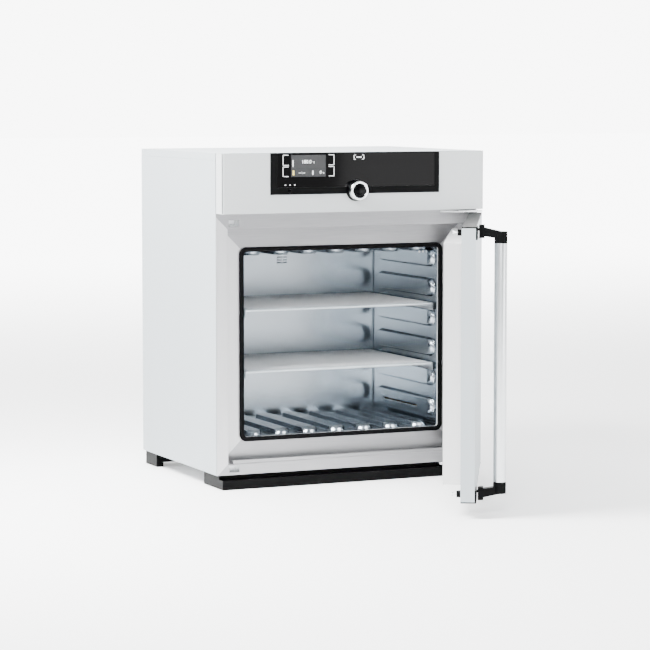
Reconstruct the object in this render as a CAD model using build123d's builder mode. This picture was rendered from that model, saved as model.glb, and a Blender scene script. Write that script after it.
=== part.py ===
from build123d import *
import os
from math import tan, radians

# Laboratory incubator: bench cabinet with a ribbed stainless chamber, a hinged insulated door with a
# bar handle and latch, two shelves and a control cockpit. Millimetres; X right, Y to the rear, Z up.
# The origin lies on the bench, midway across the cabinet, in the plane of the front frame.

# Cabinet
cabinet_width = 745.0
cabinet_depth = 544.0  # front frame to rear panel
cabinet_height = 864.0
foot_height = 37.0
sheet = 1.2  # outer casing
flange_width = 14.0
cover_skirt = 19.0
casing_gap = 4.0  # shadow gap between the fascia and the casing behind it
fascia_height = 154.0
fascia_reach = 40.0
fascia_radius = 6.0

# Front frame and its recess
frame_sheet = 1.5
recess_width = 682.0
recess_bottom = 65.0
recess_top = 671.0
recess_depth = 45.0
gutter_length = 654.0
gutter_width = 12.0
gutter_height = 9.0

# Chamber
chamber_width = 560.0
chamber_height = 480.0
chamber_floor_level = 128.0
chamber_rear = 444.0
liner_sheet = 1.5
opening_radius = 8.0
rib_width = 50.0
rib_height = 12.0
rib_pitch = 80.0
rib_front = 62.0
rib_rear = 408.0
rib_draft = 32.0  # degrees that a rib's flanks lean in
side_rib_count = 6
lowest_rib = 49.0  # above the chamber floor
floor_rib_count = 7
seal_width = 12.0
seal_height = 7.0
heater_thickness = 3.0
insulation_gap = 1.0

# Shelves
shelf_width = 544.0
shelf_front = 50.0
shelf_rear_gap = 6.0
shelf_flange = 23.0  # side flanges, turned down
shelf_rim = 5.0  # front and rear rims
shelf_sheet = 1.5
upper_shelf_rib = 3  # counted from 0 at the bottom, the rib that carries the shelf
lower_shelf_rib = 1
shelf_seat_gap = 0.4

# Door, described closed, then turned open about its hinge
door_open_angle = 61.25
hinge_inset = 14.5  # hinge axis from the cabinet's side
hinge_forward = 24.0  # hinge axis ahead of the front frame
door_width = 741.0
door_bottom = 37.5
door_top = 700.0
door_thickness = 34.0
door_gap = 6.0  # casing to front frame
door_cap = 3.0
bulge_width = 670.0
bulge_bottom = 77.0
bulge_top = 660.0
bulge_depth = 43.7  # stops just short of the seal, which bridges the last of the gap
panel_sheet = 1.2

# Hinge
hinge_plate = 5.0
hinge_plate_gap = 2.0
hinge_plate_length = 106.0
hinge_plate_reach = 14.0  # ahead of the hinge axis
hinge_plate_root = 25.0  # behind the front frame
hinge_pin_radius = 5.0
running_gap = 0.05
bush_wall = 3.0
bush_length = 16.0

# Handle and latch
handle_inset = 52.5  # handle shaft from the door's free edge
shaft_radius = 6.0
grip_radius = 15.5
grip_wall = 1.5
grip_reach = 58.7  # grip axis ahead of the door's outer face
upper_arm_level = 687.5
lower_arm_level = 55.6
arm_drop = 28.0
arm_width = 24.0
neck_width = 10.0
hub_wall = 3.0
neck_low = 1.9  # above the middle of the arm's block
neck_high = 7.5
block_gap = 6.7  # block to the door's outer face
block_depth = 13.0
block_height = 32.0
latch_turn = 25.0  # degrees from open to latched
upper_latch_level = 684.5
lower_latch_level = 52.5
latch_reach = 23.0  # pin tip beyond the casing's inner face
latch_pin_radius = 3.0
latch_head_radius = 5.0
latch_head_length = 4.0
collar_length = 11.0
collar_radius = 6.0  # half the collar's width
collar_height = 15.0
latch_slot_width = 27.4
latch_slot_height = 16.5
latch_slot_left = 337.9
pocket_wall = 1.5
pocket_depth = 30.0
pocket_spare = 7.0
plate_width = 74.0
plate_height = 31.0
plate_thickness = 4.0

# Cockpit
bezel_left = 240.0
bezel_right = 240.0
bezel_drop = 107.0  # bezel's lower edge below the cabinet's top
bezel_thickness = 2.5
bezel_lip = 4.0
glass_left = 220.0
glass_right = 226.0
glass_drop = 89.0
glass_top_inset = 2.0
screen_left = 183.0
screen_right = 85.5
screen_low_drop = 62.0
screen_high_drop = 6.0
screen_depth = 12.0
fit_gap = 0.2
knob_drop = 99.0
boss_radius = 28.0
boss_front_radius = 25.5
boss_height = 12.0
ring_radius = 25.0
ring_bore = 18.0
ring_depth = 13.0
ring_gap = 0.8
ring_web = 3.0
ring_shaft_radius = 8.0
turn_gap = 0.3
confirm_radius = 17.5
confirm_travel = 1.5
confirm_stem = 4.5
encoder_size = 42.0
encoder_depth = 18.0
power_x = 186.0
power_drop = 98.0
power_radius = 5.0
power_travel = 1.0
power_head = 3.0

# Rear and feet
tube_radius = 30.15  # the stub that a hose goes on
tube_neck_radius = 29.6  # inside the cabinet and through the rear panel
stub_gap = 3.0  # rear panel to the stub
tube_wall = 1.5
tube_level = 560.0
tube_beyond = 34.0
flap_y = 500.0
flap_thickness = 1.5
flap_gap = 0.6
flap_spindle = 3.0
inlet_x = -300.0
port_x = -240.0
socket_level = 95.0
inlet_width = 30.0
inlet_height = 24.0
inlet_depth = 32.0
port_width = 18.0
port_height = 15.0
port_depth = 24.0
socket_proud = 1.5  # beyond the service plate
tube_window = 100.0  # square window in the rear panel
plate_lap = 8.0
plinth_inset = 12.5  # from the cabinet's side
plinth_front = 9.0  # lower step ahead of the front frame
plinth_rear = 125.0
plinth_step = 25.0
plinth_setback = 18.0
rear_foot_front = 455.0
rear_foot_rear = 540.0
rear_foot_width = 20.0
rear_rail_clearance = 12.0

half_width = cabinet_width / 2
half_chamber = chamber_width / 2
chamber_top_level = chamber_floor_level + chamber_height
chamber_middle = chamber_floor_level + chamber_height / 2
recess_rear = recess_depth + frame_sheet  # where the liner starts
fascia_bottom = cabinet_height - fascia_height
cover_underside = cabinet_height - cover_skirt
hinge_x = half_width - hinge_inset
hinge_y = -hinge_forward
compartment_level = fascia_bottom + 2
bezel_bottom = cabinet_height - bezel_drop
glass_bottom = cabinet_height - glass_drop
screen_bottom = cabinet_height - screen_low_drop
screen_top = cabinet_height - screen_high_drop
knob_level = cabinet_height - knob_drop
power_level = cabinet_height - power_drop
plinth_half = half_width - plinth_inset

os.makedirs("parts", exist_ok=True)


def save(piece, name):
    """Labels a finished piece and writes it as one STEP file."""
    piece.part.label = name
    export_step(piece.part, "parts/" + name + ".step")


def box(x0, x1, y0, y1, z0, z1, mode=Mode.ADD):
    """A box between two corners, in the open part's own coordinates."""
    with Locations(((x0 + x1) / 2, (y0 + y1) / 2, (z0 + z1) / 2)):
        Box(x1 - x0, y1 - y0, z1 - z0, mode=mode)


def rod(x, y, z0, z1, radius, mode=Mode.ADD):
    """An upright round bar."""
    with Locations((x, y, (z0 + z1) / 2)):
        Cylinder(radius, z1 - z0, mode=mode)


def shaft_y(x, z, y0, y1, radius, front_radius=None, mode=Mode.ADD):
    """A round bar along Y, or a cone when its front end (y0) has a radius of its own."""
    with Locations(Location((x, (y0 + y1) / 2, z), (90, 0, 0))):
        if front_radius is None:
            Cylinder(radius, y1 - y0, mode=mode)
        else:
            Cone(radius, front_radius, y1 - y0, mode=mode)


# Casing: side panels with turned-in flanges at the top, bottom and rear
def side_panel(side, name):
    outer = side * half_width
    inner = side * (half_width - sheet)
    lip = side * (half_width - flange_width)
    rear = cabinet_depth - sheet
    with BuildPart() as panel:
        box(min(outer, lip), max(outer, lip), casing_gap, rear, foot_height, cover_underside)
        box(
            min(inner, lip), max(inner, lip), casing_gap, rear - sheet,
            foot_height + sheet, cover_underside - sheet, Mode.SUBTRACT,
        )
    save(panel, name)


side_panel(-1, "left_side_panel")
side_panel(1, "right_side_panel")

# Top cover: a folded lid that also roofs the fascia; its skirt starts behind the shadow gap, and its
# front edge is notched for the bezel's lip
with BuildPart() as top_cover:
    with BuildSketch(Plane.XY.offset(cabinet_height - sheet)):
        with Locations((0, (cabinet_depth - fascia_reach) / 2)):
            Rectangle(cabinet_width, cabinet_depth + fascia_reach)
    extrude(amount=sheet)
    fillet(top_cover.edges().filter_by(Axis.Z).group_by(Axis.Y)[0], fascia_radius)
    box(
        -bezel_left - fit_gap, bezel_right + fit_gap, -fascia_reach - 1, bezel_lip + fit_gap - fascia_reach,
        cabinet_height - 2 * sheet, cabinet_height + 1, Mode.SUBTRACT,
    )
    box(-half_width, half_width, casing_gap, cabinet_depth, cover_underside, cabinet_height - sheet)
    box(
        sheet - half_width, half_width - sheet, casing_gap, cabinet_depth - sheet,
        cover_underside, cabinet_height - sheet, Mode.SUBTRACT,
    )
save(top_cover, "top_cover")

# Rear panel, with a square window for the exhaust tube and a notch for the sockets
rear_top = cover_underside
notch_left = inlet_x - inlet_width
notch_right = port_x + inlet_width / 2
notch_top = socket_level + inlet_height
with BuildPart() as rear_panel:
    box(-half_width, half_width, cabinet_depth - sheet, cabinet_depth, foot_height, rear_top)
    with Locations((0, cabinet_depth, tube_level)):
        Box(tube_window, 4 * sheet, tube_window, mode=Mode.SUBTRACT)
    box(
        notch_left, notch_right, cabinet_depth - 2 * sheet, cabinet_depth + sheet,
        foot_height - 1, notch_top, Mode.SUBTRACT,
    )
save(rear_panel, "rear_panel")

# Service plates over the window and the notch, pierced for the tube and for both sockets
plate_face = cabinet_depth + sheet
with BuildPart() as service_plates:
    with Locations((0, cabinet_depth + sheet / 2, tube_level)):
        Box(tube_window + 2 * plate_lap, sheet, tube_window + 2 * plate_lap)
    shaft_y(
        0, tube_level, cabinet_depth - 1, plate_face + 1, tube_neck_radius + fit_gap, mode=Mode.SUBTRACT
    )
    box(
        notch_left - plate_lap, notch_right + plate_lap, cabinet_depth, plate_face,
        foot_height + 2, notch_top + plate_lap,
    )
    for x, width, height in ((inlet_x, inlet_width, inlet_height), (port_x, port_width, port_height)):
        with Locations((x, cabinet_depth, socket_level)):
            Box(width + 2 * fit_gap, 4 * sheet, height + 2 * fit_gap, mode=Mode.SUBTRACT)
save(service_plates, "service_plates")

# Pan head screws that hold the rear panel to the side panels' flanges
screw_radius = 4.0
screw_head = 2.2
screw_rows = 5
screw_margin = 30.0  # panel edge to the outermost screws
with BuildPart() as rear_panel_screws:
    with BuildSketch(Plane.XZ.offset(-cabinet_depth)):
        with Locations((0, (foot_height + rear_top) / 2)):
            with GridLocations(
                cabinet_width - flange_width,
                (rear_top - foot_height - 2 * screw_margin) / (screw_rows - 1), 2, screw_rows,
            ):
                Circle(screw_radius)
    extrude(amount=-screw_head)
save(rear_panel_screws, "rear_panel_screws")

# Base plate on the side panels' bottom flanges
with BuildPart() as base_plate:
    box(
        sheet - half_width, half_width - sheet, casing_gap, cabinet_depth - 2 * sheet,
        foot_height + sheet, foot_height + sheet + frame_sheet,
    )
save(base_plate, "base_plate")

# Compartment floor: carries the electronics above the chamber's insulation
with BuildPart() as compartment_floor:
    box(
        sheet - half_width, half_width - sheet, casing_gap, cabinet_depth - 2 * sheet,
        compartment_level, compartment_level + sheet,
    )
save(compartment_floor, "compartment_floor")

# Front frame: pressed stainless face with the door's recess, the chamber opening, the latch slots and
# the upper hinge's slot; a narrower apron carries on upwards behind the fascia
hinge_plate_top = door_top + hinge_plate_gap + hinge_plate
with BuildPart() as front_frame:
    box(-half_width, half_width, 0, frame_sheet, foot_height, fascia_bottom)
    apron_half = half_width - flange_width
    box(-apron_half, apron_half, 0, frame_sheet, fascia_bottom, cover_underside)
    half_recess = recess_width / 2
    box(
        -half_recess - frame_sheet, half_recess + frame_sheet, 0, recess_rear,
        recess_bottom - frame_sheet, recess_top + frame_sheet,
    )
    box(-half_recess, half_recess, 0, recess_depth, recess_bottom, recess_top, Mode.SUBTRACT)
    with BuildSketch(Plane.XZ.offset(-recess_depth + 1)):
        with Locations((0, chamber_middle)):
            RectangleRounded(chamber_width, chamber_height, opening_radius)
    extrude(amount=-frame_sheet - 2, mode=Mode.SUBTRACT)
    for level in (upper_latch_level, lower_latch_level):
        box(
            -latch_slot_left, latch_slot_width - latch_slot_left, -1, frame_sheet + 1,
            level - latch_slot_height / 2, level + latch_slot_height / 2, Mode.SUBTRACT,
        )
    box(
        hinge_x + hinge_inset - hinge_plate_length - fit_gap - 2, hinge_x + hinge_inset - 2 + fit_gap, -1,
        frame_sheet + 1, hinge_plate_top - hinge_plate - fit_gap, hinge_plate_top + fit_gap, Mode.SUBTRACT,
    )
save(front_frame, "front_frame")

# Latch receivers: pressed cups behind the slots of the front frame
with BuildPart() as latch_receivers:
    cup_left = -latch_slot_left - pocket_spare
    cup_right = latch_slot_width - latch_slot_left + pocket_wall
    for level in (upper_latch_level, lower_latch_level):
        cup_half = latch_slot_height / 2 + pocket_wall
        box(
            cup_left, cup_right, frame_sheet, frame_sheet + pocket_depth,
            level - cup_half, level + cup_half,
        )
        box(
            cup_left + pocket_wall, cup_right - pocket_wall, frame_sheet,
            frame_sheet + pocket_depth - pocket_wall,
            level - cup_half + pocket_wall, level + cup_half - pocket_wall, Mode.SUBTRACT,
        )
save(latch_receivers, "latch_receivers")

# Drip gutter along the recess's sill, with rounded ends
with BuildPart() as drip_gutter:
    with BuildSketch(Plane.XY.offset(recess_bottom)):
        with Locations((0, 10)):
            SlotOverall(gutter_length, gutter_width)
    extrude(amount=gutter_height)
    with BuildSketch(Plane.XY.offset(recess_bottom + frame_sheet)):
        with Locations((0, 10)):
            SlotOverall(gutter_length - 2 * frame_sheet, gutter_width - 2 * frame_sheet)
    extrude(amount=gutter_height, mode=Mode.SUBTRACT)
save(drip_gutter, "drip_gutter")

# Sill screws beside the gutter
with BuildPart() as sill_screws:
    with BuildSketch(Plane.XY.offset(recess_bottom)):
        with Locations((0, 10)):
            with GridLocations(gutter_length + 15, 1, 2, 1):
                Circle(2.6)
    extrude(amount=1.8)
save(sill_screws, "sill_screws")


# Chamber liner: sheets embossed with hollow ribs that run from the front almost to the rear wall
def rib_outlines(shrink, offsets):
    """Long slots with round ends, each shrunk all round."""
    length = rib_rear - rib_front - 2 * shrink
    for across in offsets:
        with Locations((rib_front - recess_rear + shrink + length / 2, across)):
            SlotOverall(length, rib_width - 2 * shrink)


def liner_wall(plane, span, offsets, start=0.0):
    """One ribbed sheet on a plane whose X runs to the rear and whose Z points into the chamber."""
    depth = chamber_rear - recess_rear
    with BuildPart() as wall:
        with BuildSketch(plane.offset(-liner_sheet)):
            with Locations((depth / 2, 0)):
                Rectangle(depth, span)
        extrude(amount=liner_sheet)
        with BuildSketch(plane):
            rib_outlines(0, offsets)
        extrude(amount=rib_height, taper=rib_draft)
        with BuildSketch(plane.offset(-liner_sheet)):
            rib_outlines(liner_sheet, offsets)
        extrude(amount=rib_height, taper=rib_draft, mode=Mode.SUBTRACT)
    return wall


side_offsets = [
    chamber_floor_level + lowest_rib + n * rib_pitch - chamber_middle for n in range(side_rib_count)
]
floor_offsets = [(n - (floor_rib_count - 1) / 2) * rib_pitch for n in range(floor_rib_count)]
side_span = chamber_height + 2 * liner_sheet
left_plane = Plane(origin=(-half_chamber, recess_rear, chamber_middle), x_dir=(0, 1, 0), z_dir=(1, 0, 0))
right_plane = Plane(origin=(half_chamber, recess_rear, chamber_middle), x_dir=(0, 1, 0), z_dir=(-1, 0, 0))
floor_plane = Plane(origin=(0, recess_rear, chamber_floor_level), x_dir=(0, 1, 0), z_dir=(0, 0, 1))
ceiling_plane = Plane(origin=(0, recess_rear, chamber_top_level), x_dir=(0, 1, 0), z_dir=(0, 0, -1))

chamber_left_wall = liner_wall(left_plane, side_span, side_offsets)
save(chamber_left_wall, "chamber_left_wall")

# The right wall's lowest rib has a row of air slots in its crown
air_slot_count = 6
air_slot_length = 28.0
air_slot_height = 4.0
air_slot_pitch = 34.5
air_slot_middle = 244.0
air_slot_drop = 5.0  # below the rib's middle line
air_slot_level = chamber_floor_level + lowest_rib - air_slot_drop
with BuildPart() as chamber_right_wall:
    add(liner_wall(right_plane, side_span, [-offset for offset in side_offsets]).part)
    with Locations((half_chamber - rib_height / 2, air_slot_middle, air_slot_level)):
        with GridLocations(1, air_slot_pitch, 1, air_slot_count):
            Box(2 * rib_height, air_slot_length, air_slot_height, mode=Mode.SUBTRACT)
save(chamber_right_wall, "chamber_right_wall")

chamber_floor = liner_wall(floor_plane, chamber_width, floor_offsets)
save(chamber_floor, "chamber_floor")

# Two temperature probes hang through the ceiling near its front right corner
probe_x = 258.0
probe_spacing = 10.0
probe_y = 100.0
probe_radius = 2.5
probe_drop = 18.0
probe_above = 60.0
with BuildPart() as chamber_ceiling:
    add(liner_wall(ceiling_plane, chamber_width, floor_offsets).part)
    with Locations((probe_x, probe_y, chamber_top_level)):
        with GridLocations(probe_spacing, 1, 2, 1):
            Cylinder(probe_radius + running_gap, 4 * rib_height, mode=Mode.SUBTRACT)
save(chamber_ceiling, "chamber_ceiling")

# Rear wall with the exhaust grille: two columns of four slots
with BuildPart() as chamber_rear_wall:
    box(
        -half_chamber - liner_sheet, half_chamber + liner_sheet, chamber_rear, chamber_rear + liner_sheet,
        chamber_floor_level - liner_sheet, chamber_top_level + liner_sheet,
    )
    with BuildSketch(Plane.XZ.offset(1 - chamber_rear)):
        with Locations((0, tube_level)):
            with GridLocations(17, 7.5, 2, 4):
                SlotOverall(14, 3.4)
    extrude(amount=-liner_sheet - 2, mode=Mode.SUBTRACT)
save(chamber_rear_wall, "chamber_rear_wall")

# Door seal: a black silicone frame around the chamber opening
with BuildPart() as door_seal:
    with BuildSketch(Plane.XZ.offset(-recess_depth)):
        with Locations((0, chamber_middle)):
            RectangleRounded(
                chamber_width + 2 * seal_width, chamber_height + 2 * seal_width,
                opening_radius + seal_width - 2,
            )
            RectangleRounded(chamber_width + 1, chamber_height + 1, opening_radius, mode=Mode.SUBTRACT)
    extrude(amount=seal_height)
    fillet(door_seal.edges().group_by(Axis.Y)[0], 2.5)
save(door_seal, "door_seal")


# Heaters: flat elements on the outside of the floor, the ceiling and both side walls
heater_margin = 12.0


def heater(plane, span):
    """One flat element against the outer side of a ribbed sheet, in the open part."""
    depth = chamber_rear - recess_rear
    with BuildSketch(plane.offset(-liner_sheet - heater_thickness)) as outline:
        with Locations((depth / 2, 0)):
            Rectangle(depth - 2 * heater_margin, span - 2 * heater_margin)
    extrude(outline.sketch, amount=heater_thickness)


with BuildPart() as side_heaters:
    heater(left_plane, chamber_height)
    heater(right_plane, chamber_height)
save(side_heaters, "side_heaters")

with BuildPart() as floor_heater:
    heater(floor_plane, chamber_width)
save(floor_heater, "floor_heater")

with BuildPart() as ceiling_heater:
    heater(ceiling_plane, chamber_width)
    with Locations((probe_x, probe_y, chamber_top_level)):
        Box(4 * probe_spacing, 3 * probe_spacing, 4 * rib_height, mode=Mode.SUBTRACT)
save(ceiling_heater, "ceiling_heater")

# Temperature probes
with BuildPart() as temperature_probes:
    with Locations((probe_x, probe_y, chamber_top_level + (probe_above - probe_drop) / 2)):
        with GridLocations(probe_spacing, 1, 2, 1):
            Cylinder(probe_radius, probe_above + probe_drop)
save(temperature_probes, "temperature_probes")

# Mineral wool: six slabs between the liner with its heaters and the casing
wool_front = recess_rear + insulation_gap
wool_rear = cabinet_depth - 2 * sheet - insulation_gap
wool_inner_x = half_chamber + liner_sheet + heater_thickness + insulation_gap
wool_outer_x = half_width - flange_width - insulation_gap
wool_low = foot_height + sheet + frame_sheet + insulation_gap
wool_high = compartment_level - insulation_gap
wool_floor = chamber_floor_level - liner_sheet - heater_thickness - insulation_gap
wool_ceiling = chamber_top_level + liner_sheet + heater_thickness + insulation_gap
wool_behind = chamber_rear + liner_sheet + insulation_gap
with BuildPart() as insulation:
    box(-wool_outer_x, wool_outer_x, wool_front, wool_rear, wool_low, wool_floor)
    box(-wool_outer_x, wool_outer_x, wool_front, wool_rear, wool_ceiling, wool_high)
    for side in (-1, 1):
        ends = sorted((side * wool_inner_x, side * wool_outer_x))
        box(*ends, wool_front, wool_rear, wool_floor + insulation_gap, wool_ceiling - insulation_gap)
    half_behind = wool_inner_x - insulation_gap
    box(
        -half_behind, half_behind, wool_behind, wool_rear,
        wool_floor + insulation_gap, wool_ceiling - insulation_gap,
    )
    shaft_y(0, tube_level, wool_behind - 1, wool_rear + 1, tube_radius + insulation_gap, mode=Mode.SUBTRACT)
    with Locations((probe_x, probe_y, chamber_top_level + probe_above / 2)):
        Box(3 * probe_spacing, 2 * probe_spacing, probe_above + 2 * insulation_gap, mode=Mode.SUBTRACT)
    box(
        port_x - 110, port_x + 30, cabinet_depth - 2 * inlet_depth, cabinet_depth, wool_low - 1,
        wool_floor - insulation_gap * 4, Mode.SUBTRACT,
    )
save(insulation, "insulation")

# Exhaust tube from the rear wall's grille out through the rear panel, and its turning flap
tube_front = chamber_rear + liner_sheet
tube_rear = cabinet_depth + tube_beyond
with BuildPart() as exhaust_tube:
    shaft_y(0, tube_level, tube_front, tube_rear, tube_neck_radius)
    shaft_y(0, tube_level, cabinet_depth + stub_gap, tube_rear, tube_radius)
    shaft_y(0, tube_level, tube_front - 1, tube_rear + 1, tube_radius - tube_wall, mode=Mode.SUBTRACT)
    rod(0, flap_y, tube_level - 2 * tube_radius, tube_level + 2 * tube_radius,
        flap_spindle + running_gap, Mode.SUBTRACT)
save(exhaust_tube, "exhaust_tube")

with BuildPart() as exhaust_flap:
    shaft_y(0, tube_level, flap_y - flap_thickness / 2, flap_y + flap_thickness / 2,
            tube_radius - tube_wall - flap_gap)
    rod(0, flap_y, tube_level - tube_radius, tube_level + tube_radius, flap_spindle)
save(exhaust_flap, "exhaust_flap")

# Mains inlet with its three pins, and network port
socket_face = plate_face + socket_proud
socket_wall = 3.0
inlet_cavity = 12.0
port_cavity = 10.0
pin_pitch = 7.0
pin_length = 8.0
with BuildPart() as mains_inlet:
    with Locations((inlet_x, socket_face - inlet_depth / 2, socket_level)):
        Box(inlet_width, inlet_depth, inlet_height)
    with Locations((inlet_x, socket_face, socket_level)):
        Box(
            inlet_width - 2 * socket_wall, 2 * inlet_cavity, inlet_height - 2 * socket_wall - 1,
            mode=Mode.SUBTRACT,
        )
    with Locations((inlet_x, socket_face - inlet_cavity + pin_length / 2 - 1, socket_level)):
        with GridLocations(pin_pitch, 1, 3, 1):
            Box(2, pin_length, 4)
save(mains_inlet, "mains_inlet")

with BuildPart() as network_port:
    with Locations((port_x, socket_face - port_depth / 2, socket_level)):
        Box(port_width, port_depth, port_height)
    with Locations((port_x, socket_face, socket_level)):
        Box(
            port_width - 2 * socket_wall, 2 * port_cavity, port_height - 2 * socket_wall - 1,
            mode=Mode.SUBTRACT,
        )
save(network_port, "network_port")

# Front plinth with a set-back upper step that clears the lower hinge, and the rear rail with its feet
lower_plate_top = door_bottom - hinge_plate_gap
with BuildPart() as front_plinth:
    box(-plinth_half, plinth_half, -plinth_front, plinth_rear, 0, plinth_step)
    box(-plinth_half, plinth_half, plinth_setback, plinth_rear, plinth_step, foot_height)
    box(
        half_width - hinge_plate_length - 3, half_width + 1, -plinth_front - 1,
        hinge_plate_root + 12, plinth_step, foot_height + 1, Mode.SUBTRACT,
    )
save(front_plinth, "front_plinth")

with BuildPart() as rear_feet:
    box(-half_width + 6, half_width - 6, rear_foot_front, rear_foot_rear, 0, foot_height)
    box(
        -half_width + 6 + rear_foot_width, half_width - 6 - rear_foot_width, rear_foot_front - 1,
        rear_foot_rear + 1, -1, rear_rail_clearance, Mode.SUBTRACT,
    )
save(rear_feet, "rear_feet")


# Hinge plates: tapered steel tongues that hold the pins ahead of the frame
def hinge_tongue(bottom, root, name):
    left = half_width - 2 - hinge_plate_length
    right = half_width - 2
    front = hinge_y - hinge_plate_reach
    with BuildPart() as tongue:
        with BuildSketch(Plane.XY.offset(bottom)):
            with BuildLine():
                Polyline(
                    (left, root), (left, -2), (left + 34, front), (right, front), (right, root), close=True
                )
            make_face()
            with Locations((hinge_x, hinge_y)):
                Circle(hinge_pin_radius + running_gap, mode=Mode.SUBTRACT)
        extrude(amount=hinge_plate)
    save(tongue, name)


hinge_tongue(hinge_plate_top - hinge_plate, hinge_plate_root, "upper_hinge_plate")
hinge_tongue(lower_plate_top - hinge_plate, hinge_plate_root + 10, "lower_hinge_plate")

# Spacer that packs the lower hinge plate up against the base flange
with BuildPart() as hinge_spacer:
    box(half_width - 2 - hinge_plate_length, half_width - 2, casing_gap, hinge_plate_root + 10,
        lower_plate_top, foot_height)
save(hinge_spacer, "hinge_spacer")

# Hinge pins: the lower one has a collar that carries the door
with BuildPart() as hinge_pins:
    rod(hinge_x, hinge_y, door_top - bush_length, hinge_plate_top, hinge_pin_radius)
    rod(hinge_x, hinge_y, lower_plate_top - hinge_plate, door_bottom + bush_length, hinge_pin_radius)
    rod(hinge_x, hinge_y, lower_plate_top, door_bottom, hinge_pin_radius + bush_wall)
save(hinge_pins, "hinge_pins")

# Control fascia: a folded front with rounded corners, open at the top, where the cover roofs it
with BuildPart() as control_fascia:
    with BuildSketch(Plane.XY.offset(fascia_bottom)):
        with Locations((0, -fascia_reach / 2)):
            Rectangle(cabinet_width, fascia_reach)
    extrude(amount=fascia_height - sheet)
    fillet(control_fascia.edges().filter_by(Axis.Z).group_by(Axis.Y)[0], fascia_radius)
    box(
        sheet - half_width, half_width - sheet, sheet - fascia_reach, -sheet,
        fascia_bottom + sheet, cabinet_height + 1, Mode.SUBTRACT,
    )
    box(
        -apron_half + 4, apron_half - 4, -2 * sheet, 1, fascia_bottom + sheet, cabinet_height, Mode.SUBTRACT
    )
    box(
        -screen_left - 1, -screen_right + 1, -fascia_reach - 1, 2 * sheet - fascia_reach,
        screen_bottom - 1, screen_top + 1, Mode.SUBTRACT,
    )
    for x, level, radius in ((0, knob_level, ring_shaft_radius + 1), (-power_x, power_level, power_radius)):
        shaft_y(x, level, -fascia_reach - 1, 2 * sheet - fascia_reach, radius, mode=Mode.SUBTRACT)
save(control_fascia, "control_fascia")

# Cockpit: black bezel whose upper lip lies in the cover's notch, and a glossy touch panel in it
bezel_front = -fascia_reach - bezel_thickness
with BuildPart() as cockpit_bezel:
    box(-bezel_left, bezel_right, bezel_front, -fascia_reach, bezel_bottom, cabinet_height)
    box(
        -bezel_left, bezel_right, bezel_front, bezel_lip - fascia_reach,
        cabinet_height - sheet + fit_gap / 4, cabinet_height,
    )
    box(
        -glass_left - fit_gap, glass_right + fit_gap, bezel_front - 1, 1 - fascia_reach,
        glass_bottom - fit_gap, cabinet_height - glass_top_inset + fit_gap, Mode.SUBTRACT,
    )
    shaft_y(0, knob_level, bezel_front - 1, 1 - fascia_reach, boss_radius + fit_gap, mode=Mode.SUBTRACT)
    shaft_y(
        -power_x, power_level, bezel_front - 1, 1 - fascia_reach, power_radius + turn_gap, mode=Mode.SUBTRACT
    )
save(cockpit_bezel, "cockpit_bezel")

with BuildPart() as cockpit_glass:
    box(
        -glass_left, glass_right, bezel_front, -fascia_reach,
        glass_bottom, cabinet_height - glass_top_inset,
    )
    shaft_y(0, knob_level, bezel_front - 1, 1 - fascia_reach, boss_radius + fit_gap, mode=Mode.SUBTRACT)
    box(
        -screen_left - fit_gap, -screen_right + fit_gap, bezel_front - 1, 1 - fascia_reach,
        screen_bottom - fit_gap, screen_top + fit_gap, Mode.SUBTRACT,
    )
save(cockpit_glass, "cockpit_glass")

# Display module, its face flush with the glass
with BuildPart() as display_module:
    box(-screen_left, -screen_right, bezel_front, bezel_front + screen_depth, screen_bottom, screen_top)
save(display_module, "display_module")

# Knob boss: a flared base ring that the turn ring runs ahead of
boss_front = -fascia_reach - boss_height
with BuildPart() as knob_boss:
    shaft_y(0, knob_level, boss_front, -fascia_reach, boss_radius, boss_front_radius)
    shaft_y(
        0, knob_level, boss_front - 1, 1 - fascia_reach, ring_shaft_radius + turn_gap, mode=Mode.SUBTRACT
    )
save(knob_boss, "knob_boss")

# Turn ring with its web and hollow shaft
ring_rear = boss_front - ring_gap
ring_front = ring_rear - ring_depth
encoder_rear = sheet - fascia_reach + encoder_depth
shaft_end = encoder_rear - 2
with BuildPart() as turn_ring:
    shaft_y(0, knob_level, ring_front, ring_rear, ring_radius)
    chamfer(turn_ring.edges().group_by(Axis.Y)[0], 1.2)
    shaft_y(0, knob_level, ring_front - 1, ring_rear - ring_web, ring_bore, mode=Mode.SUBTRACT)
    shaft_y(0, knob_level, ring_rear - ring_web, shaft_end, ring_shaft_radius)
    shaft_y(0, knob_level, ring_front - 1, shaft_end + 1, confirm_stem + turn_gap, mode=Mode.SUBTRACT)
save(turn_ring, "turn_ring")

# Confirm button: a domed cap in the ring, on a stem down the ring's shaft
cap_rear = ring_rear - ring_web - confirm_travel - turn_gap
with BuildPart() as confirm_button:
    shaft_y(0, knob_level, ring_front - 1.5, cap_rear, confirm_radius)
    fillet(confirm_button.edges().group_by(Axis.Y)[0], 1.5)
    shaft_y(0, knob_level, cap_rear, shaft_end - confirm_travel - turn_gap, confirm_stem)
save(confirm_button, "confirm_button")

# Encoder behind the fascia
with BuildPart() as encoder:
    with Locations((0, sheet - fascia_reach + encoder_depth / 2, knob_level)):
        Box(encoder_size, encoder_depth, encoder_size)
    shaft_y(
        0, knob_level, -fascia_reach, shaft_end + turn_gap, ring_shaft_radius + turn_gap, mode=Mode.SUBTRACT
    )
save(encoder, "encoder")

# Power button in the bezel's lower border
with BuildPart() as power_button:
    shaft_y(-power_x, power_level, bezel_front - 0.5, bezel_front - 0.5 + power_head, power_radius)
    shaft_y(-power_x, power_level, bezel_front - 0.5 + power_head, 6 - fascia_reach, power_radius / 2)
save(power_button, "power_button")

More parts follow.
